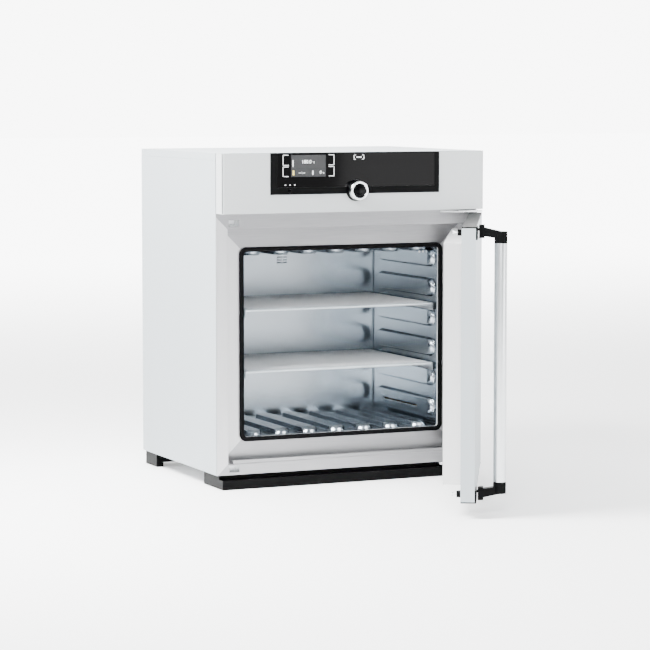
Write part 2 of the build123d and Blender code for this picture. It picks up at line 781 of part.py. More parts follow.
# Boards: one stands behind the cockpit, one lies on the compartment floor on pillars
board_sheet = 1.6
board_rear = -4.0
board_half_width = 200.0
board_half_height = 40.0
board_level = cabinet_height - 54.0
chip_height = 7.0
front_chips = ((-120, 40, 30), (-40, 26, 26), (60, 60, 18), (150, 22, 40))  # x, width, height
with BuildPart() as control_board:
    board_front = board_rear - board_sheet
    box(
        -board_half_width, board_half_width, board_front, board_rear,
        board_level - board_half_height, board_level + board_half_height,
    )
    for x, width, height in front_chips:
        box(
            x - width / 2, x + width / 2, board_front - chip_height, board_front,
            board_level - height / 2, board_level + height / 2,
        )
save(control_board, "control_board")

pillar_height = 8.0
pillar_radius = 4.0
pillar_inset = 10.0
power_left = -200.0
power_right = 60.0
power_front = 200.0
power_rear = 380.0
# x, y, width, depth and height of each large component
power_blocks = ((-150, 250, 60, 50, 45), (-60, 320, 40, 70, 30), (20, 250, 36, 60, 24))
with BuildPart() as power_board:
    board_bottom = compartment_level + sheet + pillar_height
    board_top = board_bottom + board_sheet
    box(power_left, power_right, power_front, power_rear, board_bottom, board_top)
    for x, y, width, depth, height in power_blocks:
        box(x - width / 2, x + width / 2, y - depth / 2, y + depth / 2, board_top, board_top + height)
    for x in (power_left + pillar_inset, power_right - pillar_inset):
        for y in (power_front + pillar_inset, power_rear - pillar_inset):
            rod(x, y, compartment_level + sheet, board_bottom, pillar_radius)
save(power_board, "power_board")


# Shelves: decks with turned-down rims, resting on the side walls' ribs
def shelf(rib, name):
    rib_level = chamber_floor_level + lowest_rib + rib * rib_pitch
    flank = (half_chamber - shelf_width / 2) * tan(radians(rib_draft))
    bottom = rib_level + rib_width / 2 - flank + shelf_seat_gap
    top = bottom + shelf_flange
    rear = chamber_rear - shelf_rear_gap
    half = shelf_width / 2
    with BuildPart() as deck:
        box(-half, half, shelf_front, rear, bottom, top)
        fillet(deck.edges().filter_by(Axis.Z), 6)
        box(
            shelf_sheet - half, half - shelf_sheet, shelf_front + shelf_sheet, rear - shelf_sheet,
            bottom - 1, top - shelf_sheet, Mode.SUBTRACT,
        )
        # the front and rear rims are shallower than the side flanges
        box(
            shelf_sheet - half, half - shelf_sheet, shelf_front - 1, rear + 1,
            bottom - 1, top - shelf_rim, Mode.SUBTRACT,
        )
    save(deck, name)


shelf(upper_shelf_rib, "upper_shelf")
shelf(lower_shelf_rib, "lower_shelf")

# Door: every piece below is laid out closed, with the hinge axis as its origin, and turned open
door_plane = Plane(origin=(hinge_x, hinge_y, 0), x_dir=Vector(1, 0, 0).rotate(Axis.Z, door_open_angle))
door_right = half_width - hinge_inset - hinge_x + (door_width - cabinet_width) / 2 + hinge_inset
door_left = door_right - door_width
door_rear = hinge_forward - door_gap
door_face = door_rear - door_thickness
skin_bottom = door_bottom + door_cap
skin_top = door_top - door_cap
bulge_middle = -hinge_x
bulge_rear = door_rear + bulge_depth
handle_x = door_left + handle_inset
handle_y = door_face + 17.0
bush_radius = hinge_pin_radius + bush_wall
hub_radius = shaft_radius + running_gap + hub_wall
neck_sweep = (handle_y - door_face + plate_thickness) * tan(radians(latch_turn))

with BuildPart(door_plane) as door_outer_skin:
    box(door_left, door_right, door_face, door_rear, skin_bottom, skin_top)
    box(
        door_left + sheet, door_right - sheet, door_face + sheet, door_rear + 1,
        skin_bottom + sheet, skin_top - sheet, Mode.SUBTRACT,
    )
    rod(0, 0, door_bottom - 1, door_top + 1, bush_radius + fit_gap, Mode.SUBTRACT)
    for level in (upper_arm_level, lower_arm_level):
        box(
            handle_x - neck_width / 2 - 1, handle_x + neck_width / 2 + neck_sweep + 1, door_face - 1,
            door_face + 2 * sheet, level + neck_low - 0.5, level + neck_high + 0.5, Mode.SUBTRACT,
        )
save(door_outer_skin, "door_outer_skin")

with BuildPart(door_plane) as door_inner_panel:
    box(
        door_left + sheet, door_right - sheet, door_rear - panel_sheet, door_rear,
        skin_bottom + sheet, skin_top - sheet,
    )
    bulge_left = bulge_middle - bulge_width / 2
    bulge_right = bulge_middle + bulge_width / 2
    box(bulge_left, bulge_right, door_rear - panel_sheet, bulge_rear, bulge_bottom, bulge_top)
    box(
        bulge_left + panel_sheet, bulge_right - panel_sheet, door_rear - panel_sheet - 1,
        bulge_rear - panel_sheet, bulge_bottom + panel_sheet, bulge_top - panel_sheet, Mode.SUBTRACT,
    )
    for level in (upper_latch_level, lower_latch_level):
        box(
            handle_x - collar_radius - 18, handle_x + collar_radius + 2, door_rear - 2 * panel_sheet,
            door_rear + 1, level - 8.5, level + 8.5, Mode.SUBTRACT,
        )
save(door_inner_panel, "door_inner_panel")

# Foam core between the skin and the bulge, clear of the latch shaft and the hinge bushes
with BuildPart(door_plane) as door_insulation:
    box(
        bulge_left + panel_sheet + insulation_gap, bulge_right - panel_sheet - insulation_gap,
        door_face + sheet + insulation_gap, bulge_rear - panel_sheet - insulation_gap,
        bulge_bottom + panel_sheet + insulation_gap, bulge_top - panel_sheet - insulation_gap,
    )
    box(
        handle_x - hub_radius - 2, handle_x + hub_radius + 2,
        handle_y - hub_radius - 2, handle_y + hub_radius + 2,
        bulge_bottom, bulge_top, Mode.SUBTRACT,
    )
save(door_insulation, "door_insulation")

# End caps: black mouldings over the skin's ends, each with a plate that the handle's neck passes
plate_left = door_left
plate_right = door_left + plate_width
cap_gap = 0.5  # keeps the caps clear of the bushes


def end_cap(low, high, plate_low, plate_high, level, name):
    with BuildPart(door_plane) as cap:
        box(door_left, door_right, door_face - plate_thickness, door_rear, low, high)
        box(
            plate_right, door_right + 1, door_face - plate_thickness - 1, door_face,
            low - 1, high + 1, Mode.SUBTRACT,
        )
        box(plate_left, plate_right, door_face - plate_thickness, door_face, plate_low, plate_high)
        rod(0, 0, low - 1, high + 1, bush_radius + cap_gap, Mode.SUBTRACT)
        box(
            handle_x - neck_width / 2 - 1, handle_x + neck_width / 2 + neck_sweep + 1,
            door_face - plate_thickness - 1, door_face + 1, level + neck_low - 0.5, level + neck_high + 0.5,
            Mode.SUBTRACT,
        )
    save(cap, name)


end_cap(skin_top, door_top, door_top - plate_height, door_top, upper_arm_level, "door_top_cap")
end_cap(
    door_bottom, skin_bottom, door_bottom, lower_arm_level + neck_high + 5, lower_arm_level,
    "door_bottom_cap",
)

# Hinge bushes pressed into the door's ends
with BuildPart(door_plane) as hinge_bushes:
    for low in (door_bottom, door_top - bush_length):
        rod(0, 0, low, low + bush_length, bush_radius)
        rod(0, 0, low - 1, low + bush_length + 1, hinge_pin_radius + running_gap, Mode.SUBTRACT)
save(hinge_bushes, "hinge_bushes")

# Bearing blocks that carry the latch shaft in the door's free edge, one above each hook's reach
block_half = 14.0
bearing_height = 12.0
upper_bearing = upper_latch_level - 24
lower_bearing = lower_latch_level + 14
with BuildPart(door_plane) as shaft_bearings:
    for low in (lower_bearing, upper_bearing):
        box(
            handle_x - block_half, handle_x + block_half, door_face + sheet, door_rear - panel_sheet,
            low, low + bearing_height,
        )
        rod(handle_x, handle_y, low - 1, low + bearing_height + 1, shaft_radius + turn_gap, Mode.SUBTRACT)
save(shaft_bearings, "shaft_bearings")

# Handle and latch turn together on the shaft in the door's free edge; X and Y from the shaft's axis
handle_origin = door_plane.from_local_coords(Vector(handle_x, handle_y, 0))
handle_plane = Plane(origin=handle_origin, x_dir=door_plane.x_dir)
face = door_face - handle_y
grip_y = face - grip_reach
grip_bottom = lower_arm_level + arm_drop
grip_top = upper_arm_level - arm_drop
hub_half = 4.8
block_front = face - block_gap - block_depth
block_rear = face - block_gap
relief = arm_width / 2 * tan(radians(latch_turn + 1))

with BuildPart(handle_plane) as latch_shaft:
    rod(0, 0, lower_latch_level - hub_half, upper_arm_level + neck_high, shaft_radius)
save(latch_shaft, "latch_shaft")

with BuildPart(handle_plane) as handle_grip:
    rod(0, grip_y, grip_bottom, grip_top, grip_radius)
    rod(0, grip_y, grip_bottom - 1, grip_top + 1, grip_radius - grip_wall, Mode.SUBTRACT)
save(handle_grip, "handle_grip")


def handle_arm(level, toward_grip, grip_end, name):
    """Root block, sloping arm and grip socket, with a neck and a hub round the latch shaft."""
    side_plane = Plane(
        origin=handle_plane.from_local_coords(Vector(-arm_width / 2, 0, level)),
        x_dir=-handle_plane.y_dir,
        z_dir=handle_plane.x_dir,
    )
    up = 1 if side_plane.y_dir.Z > 0 else -1
    s = toward_grip * up
    outer = -grip_y + grip_radius
    with BuildPart() as arm:
        with BuildSketch(side_plane):
            with BuildLine():
                Polyline(
                    (-block_front - 1, -9.5 * s), (outer - 4, 2.5 * s),
                    (outer, 6 * s), (outer, arm_drop * s),
                    (-grip_y - grip_radius, arm_drop * s), (-grip_y - grip_radius, 15.5 * s),
                    (-block_front - 1, 11.5 * s), close=True,
                )
            make_face()
        extrude(amount=arm_width)
        with Locations(handle_plane.location):
            with Locations((0, grip_y, level + toward_grip * arm_drop / 2)):
                Cylinder(grip_radius, arm_drop, mode=Mode.ADD)
        with BuildSketch(handle_plane.offset(level - block_height / 2)):
            with BuildLine():
                Polyline(
                    (-arm_width / 2, block_rear), (0, block_rear), (arm_width / 2, block_rear - relief),
                    (arm_width / 2, block_front), (-arm_width / 2, block_front), close=True,
                )
            make_face()
        extrude(amount=block_height)
        with BuildSketch(handle_plane.offset(level + neck_low)):
            with Locations((0, (block_rear - hub_radius) / 2)):
                Rectangle(neck_width, -block_rear + hub_radius - 4)
            Circle(hub_radius)
        extrude(amount=neck_high - neck_low)
        with Locations(handle_plane.location):
            with Locations((0, 0, level + (neck_low + neck_high) / 2)):
                Cylinder(shaft_radius + running_gap, 2 * block_height, mode=Mode.SUBTRACT)
    save(arm, name)


handle_arm(upper_arm_level, -1, grip_top, "upper_handle_arm")
handle_arm(lower_arm_level, 1, grip_bottom, "lower_handle_arm")


def latch_hook(level, name):
    """A hub on the shaft, a black guide collar and a steel pin with a head that hooks the receiver."""
    casing = door_rear - handle_y
    tip = casing + latch_reach
    with BuildPart() as hook:
        with Locations(handle_plane.location):
            with Locations((0, 0, level)):
                Cylinder(hub_radius, 9, mode=Mode.ADD)
                Cylinder(shaft_radius + running_gap, 10, mode=Mode.SUBTRACT)
            with Locations(Location((0, (hub_radius - 1 + tip) / 2, level), (90, 0, 0))):
                Cylinder(latch_pin_radius, tip - hub_radius + 1)
            with Locations(Location((0, tip - latch_head_length / 2, level), (90, 0, 0))):
                Cylinder(latch_head_radius, latch_head_length)
    save(hook, name)


latch_hook(upper_latch_level, "upper_latch_hook")
latch_hook(lower_latch_level, "lower_latch_hook")


# Tapered plastic guides round the latch pins, behind the casing's inner face
with BuildPart() as latch_collars:
    collar_rear = door_rear - handle_y
    with Locations(handle_plane.location):
        with Locations(
            (0, collar_rear + collar_length / 2, upper_latch_level),
            (0, collar_rear + collar_length / 2, lower_latch_level),
        ):
            Box(2 * collar_radius, collar_length, collar_height)
        with Locations(
            Location((0, collar_rear + collar_length / 2, upper_latch_level), (90, 0, 0)),
            Location((0, collar_rear + collar_length / 2, lower_latch_level), (90, 0, 0)),
        ):
            Cylinder(latch_pin_radius + running_gap, collar_length + 2, mode=Mode.SUBTRACT)
save(latch_collars, "latch_collars")
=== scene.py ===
from math import radians

import bmesh
import bpy
import numpy as np
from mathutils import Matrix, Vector


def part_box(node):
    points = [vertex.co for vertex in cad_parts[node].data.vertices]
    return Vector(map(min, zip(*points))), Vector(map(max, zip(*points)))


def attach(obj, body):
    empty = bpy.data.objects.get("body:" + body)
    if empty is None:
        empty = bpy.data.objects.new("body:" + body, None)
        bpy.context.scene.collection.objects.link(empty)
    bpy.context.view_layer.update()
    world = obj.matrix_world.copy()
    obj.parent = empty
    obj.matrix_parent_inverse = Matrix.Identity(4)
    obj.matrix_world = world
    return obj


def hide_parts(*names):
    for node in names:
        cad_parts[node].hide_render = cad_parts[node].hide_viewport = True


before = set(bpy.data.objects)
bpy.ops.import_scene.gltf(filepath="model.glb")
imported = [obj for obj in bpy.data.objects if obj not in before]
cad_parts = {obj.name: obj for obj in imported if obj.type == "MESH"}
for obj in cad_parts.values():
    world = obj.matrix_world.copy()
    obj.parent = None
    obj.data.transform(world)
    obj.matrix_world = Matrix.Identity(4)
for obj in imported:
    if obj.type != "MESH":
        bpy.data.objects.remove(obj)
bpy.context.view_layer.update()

# ---------------------------------------------------------------------------------------------
# The studio: a pale seamless floor under soft light from above and from both sides, and a long
# lens that looks a little down on the incubator's front left corner.
# ---------------------------------------------------------------------------------------------


class Wire:
    """One output of a shader node; arithmetic with numbers or other wires adds Math nodes."""

    def __init__(self, tree, socket):
        self.tree = tree
        self.socket = socket

    def math(self, operation, first, second=0.0):
        return self.tree.node("ShaderNodeMath", {"operation": operation}, {0: first, 1: second})

    def __add__(self, value):
        return self.math("ADD", self, value)

    def __sub__(self, value):
        return self.math("SUBTRACT", self, value)

    def __rsub__(self, value):
        return self.math("SUBTRACT", value, self)

    def __mul__(self, value):
        return self.math("MULTIPLY", self, value)

    def __abs__(self):
        return self.math("ABSOLUTE", self)

    def sine(self):
        return self.math("SINE", self)

    __radd__ = __add__
    __rmul__ = __mul__


class Tree:
    """A node tree with one way to add a node: its type, settings, socket values and output."""

    def __init__(self, tree):
        self.tree = tree

    def node(self, kind, settings=None, sockets=None, output=0):
        node = self.tree.nodes.new(kind)
        for name, value in (settings or {}).items():
            setattr(node, name, value)
        for key, value in (sockets or {}).items():
            self.put(node.inputs[key], value)
        return Wire(self, node.outputs[output])

    def put(self, socket, value):
        if isinstance(value, Wire):
            self.tree.links.new(value.socket, socket)
        elif socket.type == "RGBA":
            socket.default_value = (*value, 1.0)
        else:
            socket.default_value = value

    def between(self, value, low, high, to_low=0.0, to_high=1.0):
        """Carries low..high smoothly over to to_low..to_high, and no further."""
        return self.node(
            "ShaderNodeMapRange", {"interpolation_type": "SMOOTHSTEP"},
            {0: value, 1: low, 2: high, 3: to_low, 4: to_high},
        )

    def mix(self, share, first, second):
        """A colour between two colours."""
        return self.node("ShaderNodeMix", {"data_type": "RGBA"}, {0: share, 6: first, 7: second}, 2)


class Finish(Tree):
    """A material: even values sit on the shader's own sockets, patterns read object coordinates.
    The colour and roughness it starts with are averages, which a pattern may then replace."""

    def __init__(self, name, color, metallic, roughness, **even):
        self.material = bpy.data.materials.new(name)
        self.material.use_nodes = True
        super().__init__(self.material.node_tree)
        self.shader = self.tree.nodes["Principled BSDF"]
        self.feed("Base Color", color)
        self.feed("Metallic", metallic)
        self.feed("Roughness", roughness)
        for socket, value in even.items():
            self.feed(socket.replace("_", " ").title().replace("Ior", "IOR"), value)
        self.place = self.node("ShaderNodeTexCoord", output="Object")

    def feed(self, socket, value):
        self.put(self.shader.inputs[socket], value)

    def noise(self, scale, stretch=(1.0, 1.0, 1.0), detail=2.0):
        """Soft noise of 1/scale metres, pulled out along the axes where stretch is small."""
        place = self.node(
            "ShaderNodeVectorMath", {"operation": "MULTIPLY"}, {0: self.place, 1: stretch}
        )
        return self.node("ShaderNodeTexNoise", {}, {"Vector": place, "Scale": scale, "Detail": detail})

    def axis(self, letter):
        """The distance along X, Y or Z, in metres."""
        return self.node("ShaderNodeSeparateXYZ", {}, {0: self.place}, letter)

    def relief(self, height, depth):
        """Raises the surface by height times depth, in metres."""
        self.feed("Normal", self.node(
            "ShaderNodeBump", {}, {"Strength": 1.0, "Distance": depth, "Height": height}
        ))


def grid_faces(rows, columns, close_rows=False, close_columns=False):
    """Quads between neighbouring points of a grid whose points are numbered row by row."""
    row = np.arange(rows if close_rows else rows - 1)[:, None]
    column = np.arange(columns if close_columns else columns - 1)[None, :]
    next_row = (row + 1) % rows
    next_column = (column + 1) % columns
    corners = (
        row * columns + column, next_row * columns + column,
        next_row * columns + next_column, row * columns + next_column,
    )
    return np.stack(corners, axis=-1).reshape(-1, 4)


def shaped(name, points, faces, finish, facing=None, crease=35.0):
    """An object from points and faces, doubles merged; facing turns an open sheet that way."""
    mesh = bpy.data.meshes.new(name)
    mesh.from_pydata(np.asarray(points).reshape(-1, 3).tolist(), [], np.asarray(faces).tolist())
    work = bmesh.new()
    work.from_mesh(mesh)
    bmesh.ops.remove_doubles(work, verts=work.verts, dist=1e-6)
    if facing is None:
        bmesh.ops.recalc_face_normals(work, faces=work.faces)
    else:
        side = sum(face.normal.dot(facing) * face.calc_area() for face in work.faces)
        if side < 0:
            bmesh.ops.reverse_faces(work, faces=work.faces)
    work.to_mesh(mesh)
    work.free()
    mesh.shade_smooth()
    mesh.set_sharp_from_angle(angle=radians(crease))
    mesh.materials.append(finish.material)
    piece = bpy.data.objects.new(name, mesh)
    bpy.context.scene.collection.objects.link(piece)
    return piece


camera_data = bpy.data.cameras.new("camera")
camera_data.lens = 145.43
camera_data.sensor_width = 36.0
camera_data.clip_end = 100.0
camera = bpy.data.objects.new("camera", camera_data)
camera.location = (-2.8594, -6.1961, 1.0307)
camera.rotation_euler = (radians(90.0 - 5.177), 0.0, radians(-24.244))
bpy.context.scene.collection.objects.link(camera)
bpy.context.scene.camera = camera

# the sky is a bright backdrop behind the incubator, and grey where its front and left side look
world = bpy.data.worlds.new("studio")
world.use_nodes = True
bpy.context.scene.world = world
sky = Tree(world.node_tree)
direction = sky.node("ShaderNodeTexCoord", output="Generated")
sideways = sky.node("ShaderNodeSeparateXYZ", {}, {0: direction}, "X")
forward = sky.node("ShaderNodeSeparateXYZ", {}, {0: direction}, "Y")
upward = sky.node("ShaderNodeSeparateXYZ", {}, {0: direction}, "Z")
shade = (
    sky.between(forward, -0.5, 0.25) * sky.between(upward, -0.1, 0.5, 0.8, 1.0)
    * sky.between(sideways, -0.9, 0.0, 0.3, 1.0)
)
sky_color = sky.mix(shade, (0.15, 0.16, 0.17), (1.0, 1.0, 1.0))
backdrop = sky.between(forward, 0.6, 0.88)
sky_color = sky.mix(backdrop, sky_color, (2.2, 2.2, 2.2))
background = world.node_tree.nodes["Background"]
sky.put(background.inputs["Color"], sky_color)
background.inputs["Strength"].default_value = 3.8

# each soft box: its name, place, aim, width in metres and power in watts
for name, place, aim, size, power in (
    ("left_light", (-1.55, -0.2, 2.1), (-0.4, 0.25, 0.85), 1.2, 330.0),
    ("front_light", (-1.6, -4.2, 2.7), (0.0, 0.0, 0.5), 1.6, 300.0),
    ("right_light", (3.4, -2.6, 1.8), (0.2, -0.3, 0.4), 1.2, 60.0),
    ("glass_card", (1.75, -2.77, 0.52), (0.1, -0.04, 0.82), 1.0, 21.0),
):
    light_data = bpy.data.lights.new(name, "AREA")
    light_data.size = size
    light_data.energy = power
    light = bpy.data.objects.new(name, light_data)
    light.location = place
    light.rotation_euler = (Vector(aim) - Vector(place)).to_track_quat("-Z", "Y").to_euler()
    bpy.context.scene.collection.objects.link(light)

floor_finish = Finish("studio_floor", (0.9, 0.9, 0.9), 0.0, 0.9, emission_color=(1.0, 1.0, 1.0))
floor_finish.feed("Emission Strength", 1.0)
# the floor grows brighter far behind the incubator, so that it meets the sky without a line
far_behind = floor_finish.between(floor_finish.axis("Y"), 0.8, 9.0)
floor_finish.feed("Emission Color", floor_finish.mix(far_behind, (0.35, 0.35, 0.35), (6.3, 6.3, 6.3)))
floor_finish.feed("Base Color", floor_finish.mix(
    floor_finish.noise(0.8), (0.88, 0.88, 0.88), (0.91, 0.91, 0.91)
))
floor_reach = 45.0
floor_level = -0.0005
floor_line = np.linspace(-floor_reach, floor_reach, 3)
floor_points = np.stack(np.meshgrid(floor_line, floor_line, [floor_level], indexing="ij"), axis=-1)
studio_floor = shaped(
    "studio_floor", floor_points, grid_faces(3, 3), floor_finish, facing=(0.0, 0.0, 1.0)
)

# ---------------------------------------------------------------------------------------------
# Casing: side panels, lid and door skin of structured stainless sheet, rolled with a fine grain,
# then folded. Rear panel, base and inner floor are galvanised sheet.
# ---------------------------------------------------------------------------------------------


def wear(finish, *nodes):
    """Puts a finish on CAD nodes whose shape is right as it is."""
    for node in nodes:
        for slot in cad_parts[node].material_slots:
            slot.material = finish.material


def folded(node, body, finish, radius, segments=3, crease=30.0):
    """A merged copy of a CAD node whose edges are rounded by a bevel of the given radius."""
    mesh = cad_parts[node].data.copy()
    if "custom_normal" in mesh.attributes:
        mesh.attributes.remove(mesh.attributes["custom_normal"])
    work = bmesh.new()
    work.from_mesh(mesh)
    bmesh.ops.remove_doubles(work, verts=work.verts, dist=1e-5)
    bmesh.ops.dissolve_limit(work, angle_limit=radians(0.5), verts=work.verts, edges=work.edges)
    work.to_mesh(mesh)
    work.free()
    mesh.shade_smooth()
    mesh.materials.clear()
    mesh.materials.append(finish.material)
    piece = bpy.data.objects.new(node + "_shape", mesh)
    bpy.context.scene.collection.objects.link(piece)
    bevel = piece.modifiers.new("edges", "BEVEL")
    bevel.width = radius
    bevel.segments = segments
    bevel.limit_method = "ANGLE"
    bevel.angle_limit = radians(crease)
    bevel.harden_normals = True
    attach(piece, body)
    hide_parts(node)
    return piece


structured_steel = Finish("structured_steel", (0.62, 0.65, 0.64), 0.55, 0.5)
grain = structured_steel.noise(900.0, detail=3.0)
cloud = structured_steel.noise(3.0)
structured_steel.feed("Base Color", structured_steel.mix(
    grain * 0.7 + cloud * 0.3, (0.34, 0.38, 0.40), (0.41, 0.445, 0.465)
))
structured_steel.feed("Roughness", grain * 0.14 + 0.42)
structured_steel.relief(grain, 0.00012)

galvanised_steel = Finish("galvanised_steel", (0.55, 0.57, 0.58), 0.9, 0.4)
spangle = galvanised_steel.node(
    "ShaderNodeTexVoronoi", {}, {"Vector": galvanised_steel.place, "Scale": 55.0}, "Color"
)
flake = galvanised_steel.node("ShaderNodeSeparateColor", {}, {0: spangle}, "Red")
galvanised_steel.feed("Base Color", galvanised_steel.mix(
    flake, (0.45, 0.47, 0.49), (0.62, 0.64, 0.65)
))
galvanised_steel.feed("Roughness", flake * 0.2 + 0.32)
galvanised_steel.relief(flake, 0.00004)

zinc_steel = Finish("zinc_steel", (0.72, 0.73, 0.74), 1.0, 0.3)
bloom = zinc_steel.noise(160.0, detail=4.0)
zinc_steel.feed("Base Color", zinc_steel.mix(bloom, (0.60, 0.61, 0.62), (0.78, 0.79, 0.80)))
zinc_steel.feed("Roughness", bloom * 0.2 + 0.2)

for side in ("left_side_panel", "right_side_panel", "top_cover"):
    folded(side, "cabinet", structured_steel, 0.0011)
wear(galvanised_steel, "rear_panel", "service_plates", "base_plate", "compartment_floor")
wear(zinc_steel, "rear_panel_screws", "latch_receivers", "sill_screws", "temperature_probes")

# ---------------------------------------------------------------------------------------------
# Front frame: stainless sheet, pressed back round the chamber opening. It is brushed along each
# side, so the brushing turns at mitres in its corners. A gutter catches drips on the sill.
# ---------------------------------------------------------------------------------------------

seal_low, seal_high = (np.array(corner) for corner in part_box("door_seal"))
opening_middle = float(seal_low[2] + seal_high[2]) / 2
opening_spare = float(seal_high[0]) - float(seal_high[2] - seal_low[2]) / 2

frame_steel = Finish("frame_steel", (0.74, 0.73, 0.71), 1.0, 0.34)
beside = abs(frame_steel.axis("X"))
above = abs(frame_steel.axis("Z") - opening_middle) + opening_spare
mitre = frame_steel.between(beside - above, -0.0004, 0.0004)
brushed_across = frame_steel.noise(700.0, (0.02, 1.0, 1.0), 3.0)
brushed_upright = frame_steel.noise(700.0, (1.0, 1.0, 0.02), 3.0)
brushing = brushed_upright * mitre + brushed_across * (1.0 - mitre)
# painted shade: the bands brushed across, above and below the opening, are coloured darker than the
# upright bands beside it, standing in for how each brushing direction catches the light
frame_steel.feed("Base Color", frame_steel.mix(
    brushing * 0.3 + mitre * 0.65, (0.27, 0.27, 0.28), (0.64, 0.64, 0.65)
))
frame_steel.feed("Roughness", brushing * 0.18 + mitre * 0.06 + 0.26)
frame_steel.relief(brushing, 0.00002)
folded("front_frame", "cabinet", frame_steel, 0.0016)
wear(frame_steel, "drip_gutter")

# ---------------------------------------------------------------------------------------------
# Chamber: four bright stainless sheets, each pressed with long hollow ribs. A rib has a flat crown
# and soft flanks, a domed front end behind a shallow pinch, and a rear end that fades out.
# ---------------------------------------------------------------------------------------------

chamber_steel = Finish("chamber_steel", (0.50, 0.55, 0.60), 1.0, 0.26)
cast = chamber_steel.noise(7.0)
rolled = chamber_steel.noise(500.0, (1.0, 0.03, 1.0), 2.0)
# painted shade and painted dark reflection: the colour is darker where the sheet bends steeply
painted_bend_shade = chamber_steel.node("ShaderNodeAttribute", {"attribute_name": "bend"}, output="Fac")
plain = chamber_steel.mix(cast * 0.6 + rolled * 0.4, (0.40, 0.445, 0.485), (0.46, 0.50, 0.535))
chamber_steel.feed("Base Color", chamber_steel.mix(painted_bend_shade, plain, (0.14, 0.165, 0.19)))
chamber_steel.feed("Roughness", rolled * 0.04 + cast * 0.05 + 0.18)
chamber_steel.relief(cast, 0.00015)

rib_half_width = 0.025
rib_rise = 0.012
rib_flank = 0.0048
rib_nose = 0.0165
rib_start = 0.062
rib_end = 0.408
rib_step = 0.080
pinch_depth = 0.0012
pinch_spread = 0.0012
seam_rise = 0.0008
seam_place = 0.437
seam_spread = 0.0009
pressing_depth = 0.0015  # from the ribs' foot to the sheet's far side
liner_thickness = 0.0012


def ribbed_height(along, across, middles):
    """Rise of a ribbed sheet. The distance from a rib's middle line falls over its flank in a
    rounded slope; ahead of the crown the flank widens with the square of the cosine of the
    direction and bulges like a quarter circle, behind a shallow pinch shaped like a bell curve."""
    dome_middle = rib_start + rib_half_width
    tail_middle = rib_end - rib_half_width
    rise = np.zeros(np.broadcast(along, across).shape)
    for middle in middles:
        nearest = np.clip(along, dome_middle, tail_middle)
        distance = np.hypot(along - nearest, across - middle) + 1e-9
        ahead = np.clip((dome_middle - along) / distance, 0.0, 1.0)
        flank = rib_flank + (rib_nose - rib_flank) * ahead ** 2
        fall = np.clip((rib_half_width - distance) / flank, 0.0, 1.0)
        slope = 0.5 * fall + 0.5 * fall ** 2 * (3 - 2 * fall)
        bulge = np.sqrt(1 - (1 - fall) ** 2)
        end = slope + (bulge - slope) * ahead
        crown_edge = dome_middle - (rib_half_width - rib_nose)
        pinch = pinch_depth / rib_rise * np.exp(-((along - crown_edge - 0.001) / pinch_spread) ** 2)
        rise = np.maximum(rise, end * (1 - pinch))
    return rise * rib_rise + seam_rise * np.exp(-((along - seam_place) / seam_spread) ** 2)


def ribbed_wall(node, facing, middles, slots=None):
    """A pressed sheet with ribs on the given middle lines. Its grid is fine over flanks and rib
    ends and coarse over flat steel; slots are left out of its faces."""
    low, high = (np.array(corner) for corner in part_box(node))
    normal = int(np.argmax(np.abs(facing)))
    span = 2 if normal == 0 else 0
    near_rib = np.concatenate([
        np.arange(0.0, 0.018, 0.003), np.arange(0.018, 0.0275, 0.0008), [0.032, 0.040]
    ])
    across = (np.array(middles)[:, None] + np.concatenate([-near_rib, near_rib])).ravel()
    along = np.concatenate([
        [low[1], 0.052, 0.058], np.arange(0.0605, 0.093, 0.0013), np.arange(0.10, 0.375, 0.02),
        np.arange(0.378, 0.412, 0.002), [0.42, 0.43], seam_place + np.arange(-3, 4) * 0.0008,
        [high[1]],
    ])
    if slots is not None:
        along = np.concatenate([along, slots[0].ravel()])
        across = np.concatenate([across, slots[1]])
    across = np.unique(np.round(np.clip(across, low[span], high[span]), 6))
    across = np.unique(np.concatenate([across, [low[span], high[span]]]))
    along = np.unique(np.round(along, 6))
    y, s = np.meshgrid(along, across, indexing="ij")
    rise = ribbed_height(y, s, middles)
    points = np.zeros((*y.shape, 3))
    points[..., 1] = y
    points[..., span] = s
    base = low[normal] + pressing_depth if facing[normal] > 0 else high[normal] - pressing_depth
    points[..., normal] = base + np.sign(facing[normal]) * rise
    faces = grid_faces(*y.shape)
    if slots is not None:
        middle_y = points[..., 1].ravel()[faces].mean(axis=1)
        middle_s = points[..., span].ravel()[faces].mean(axis=1)
        inside = (middle_s > slots[1][0]) & (middle_s < slots[1][1])
        past_start = middle_y[:, None] > slots[0][:, 0]
        before_end = middle_y[:, None] < slots[0][:, 1]
        faces = faces[~(inside & (past_start & before_end).any(axis=1))]
    wall = shaped(node + "_pressed", points, faces, chamber_steel, facing=facing, crease=50.0)
    # painted shade: each point's steepness goes into the 'bend' attribute, which darkens chamber_steel's
    # colour on the rib flanks
    place = np.zeros(len(wall.data.vertices) * 3)
    wall.data.vertices.foreach_get("co", place)
    y, s = place.reshape(-1, 3)[:, [1, span]].T
    step = 0.0005
    steepness = np.hypot(
        ribbed_height(y + step, s, middles) - ribbed_height(y - step, s, middles),
        ribbed_height(y, s + step, middles) - ribbed_height(y, s - step, middles),
    ) / (2 * step)
    bend = wall.data.attributes.new("bend", "FLOAT", "POINT")
    bend.data.foreach_set("value", np.clip(steepness / 2.2 - 0.25, 0.0, 0.85))
    thicken = wall.modifiers.new("sheet", "SOLIDIFY")
    thicken.thickness = liner_thickness
    thicken.offset = -1.0
    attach(wall, "cabinet")
    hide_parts(node)


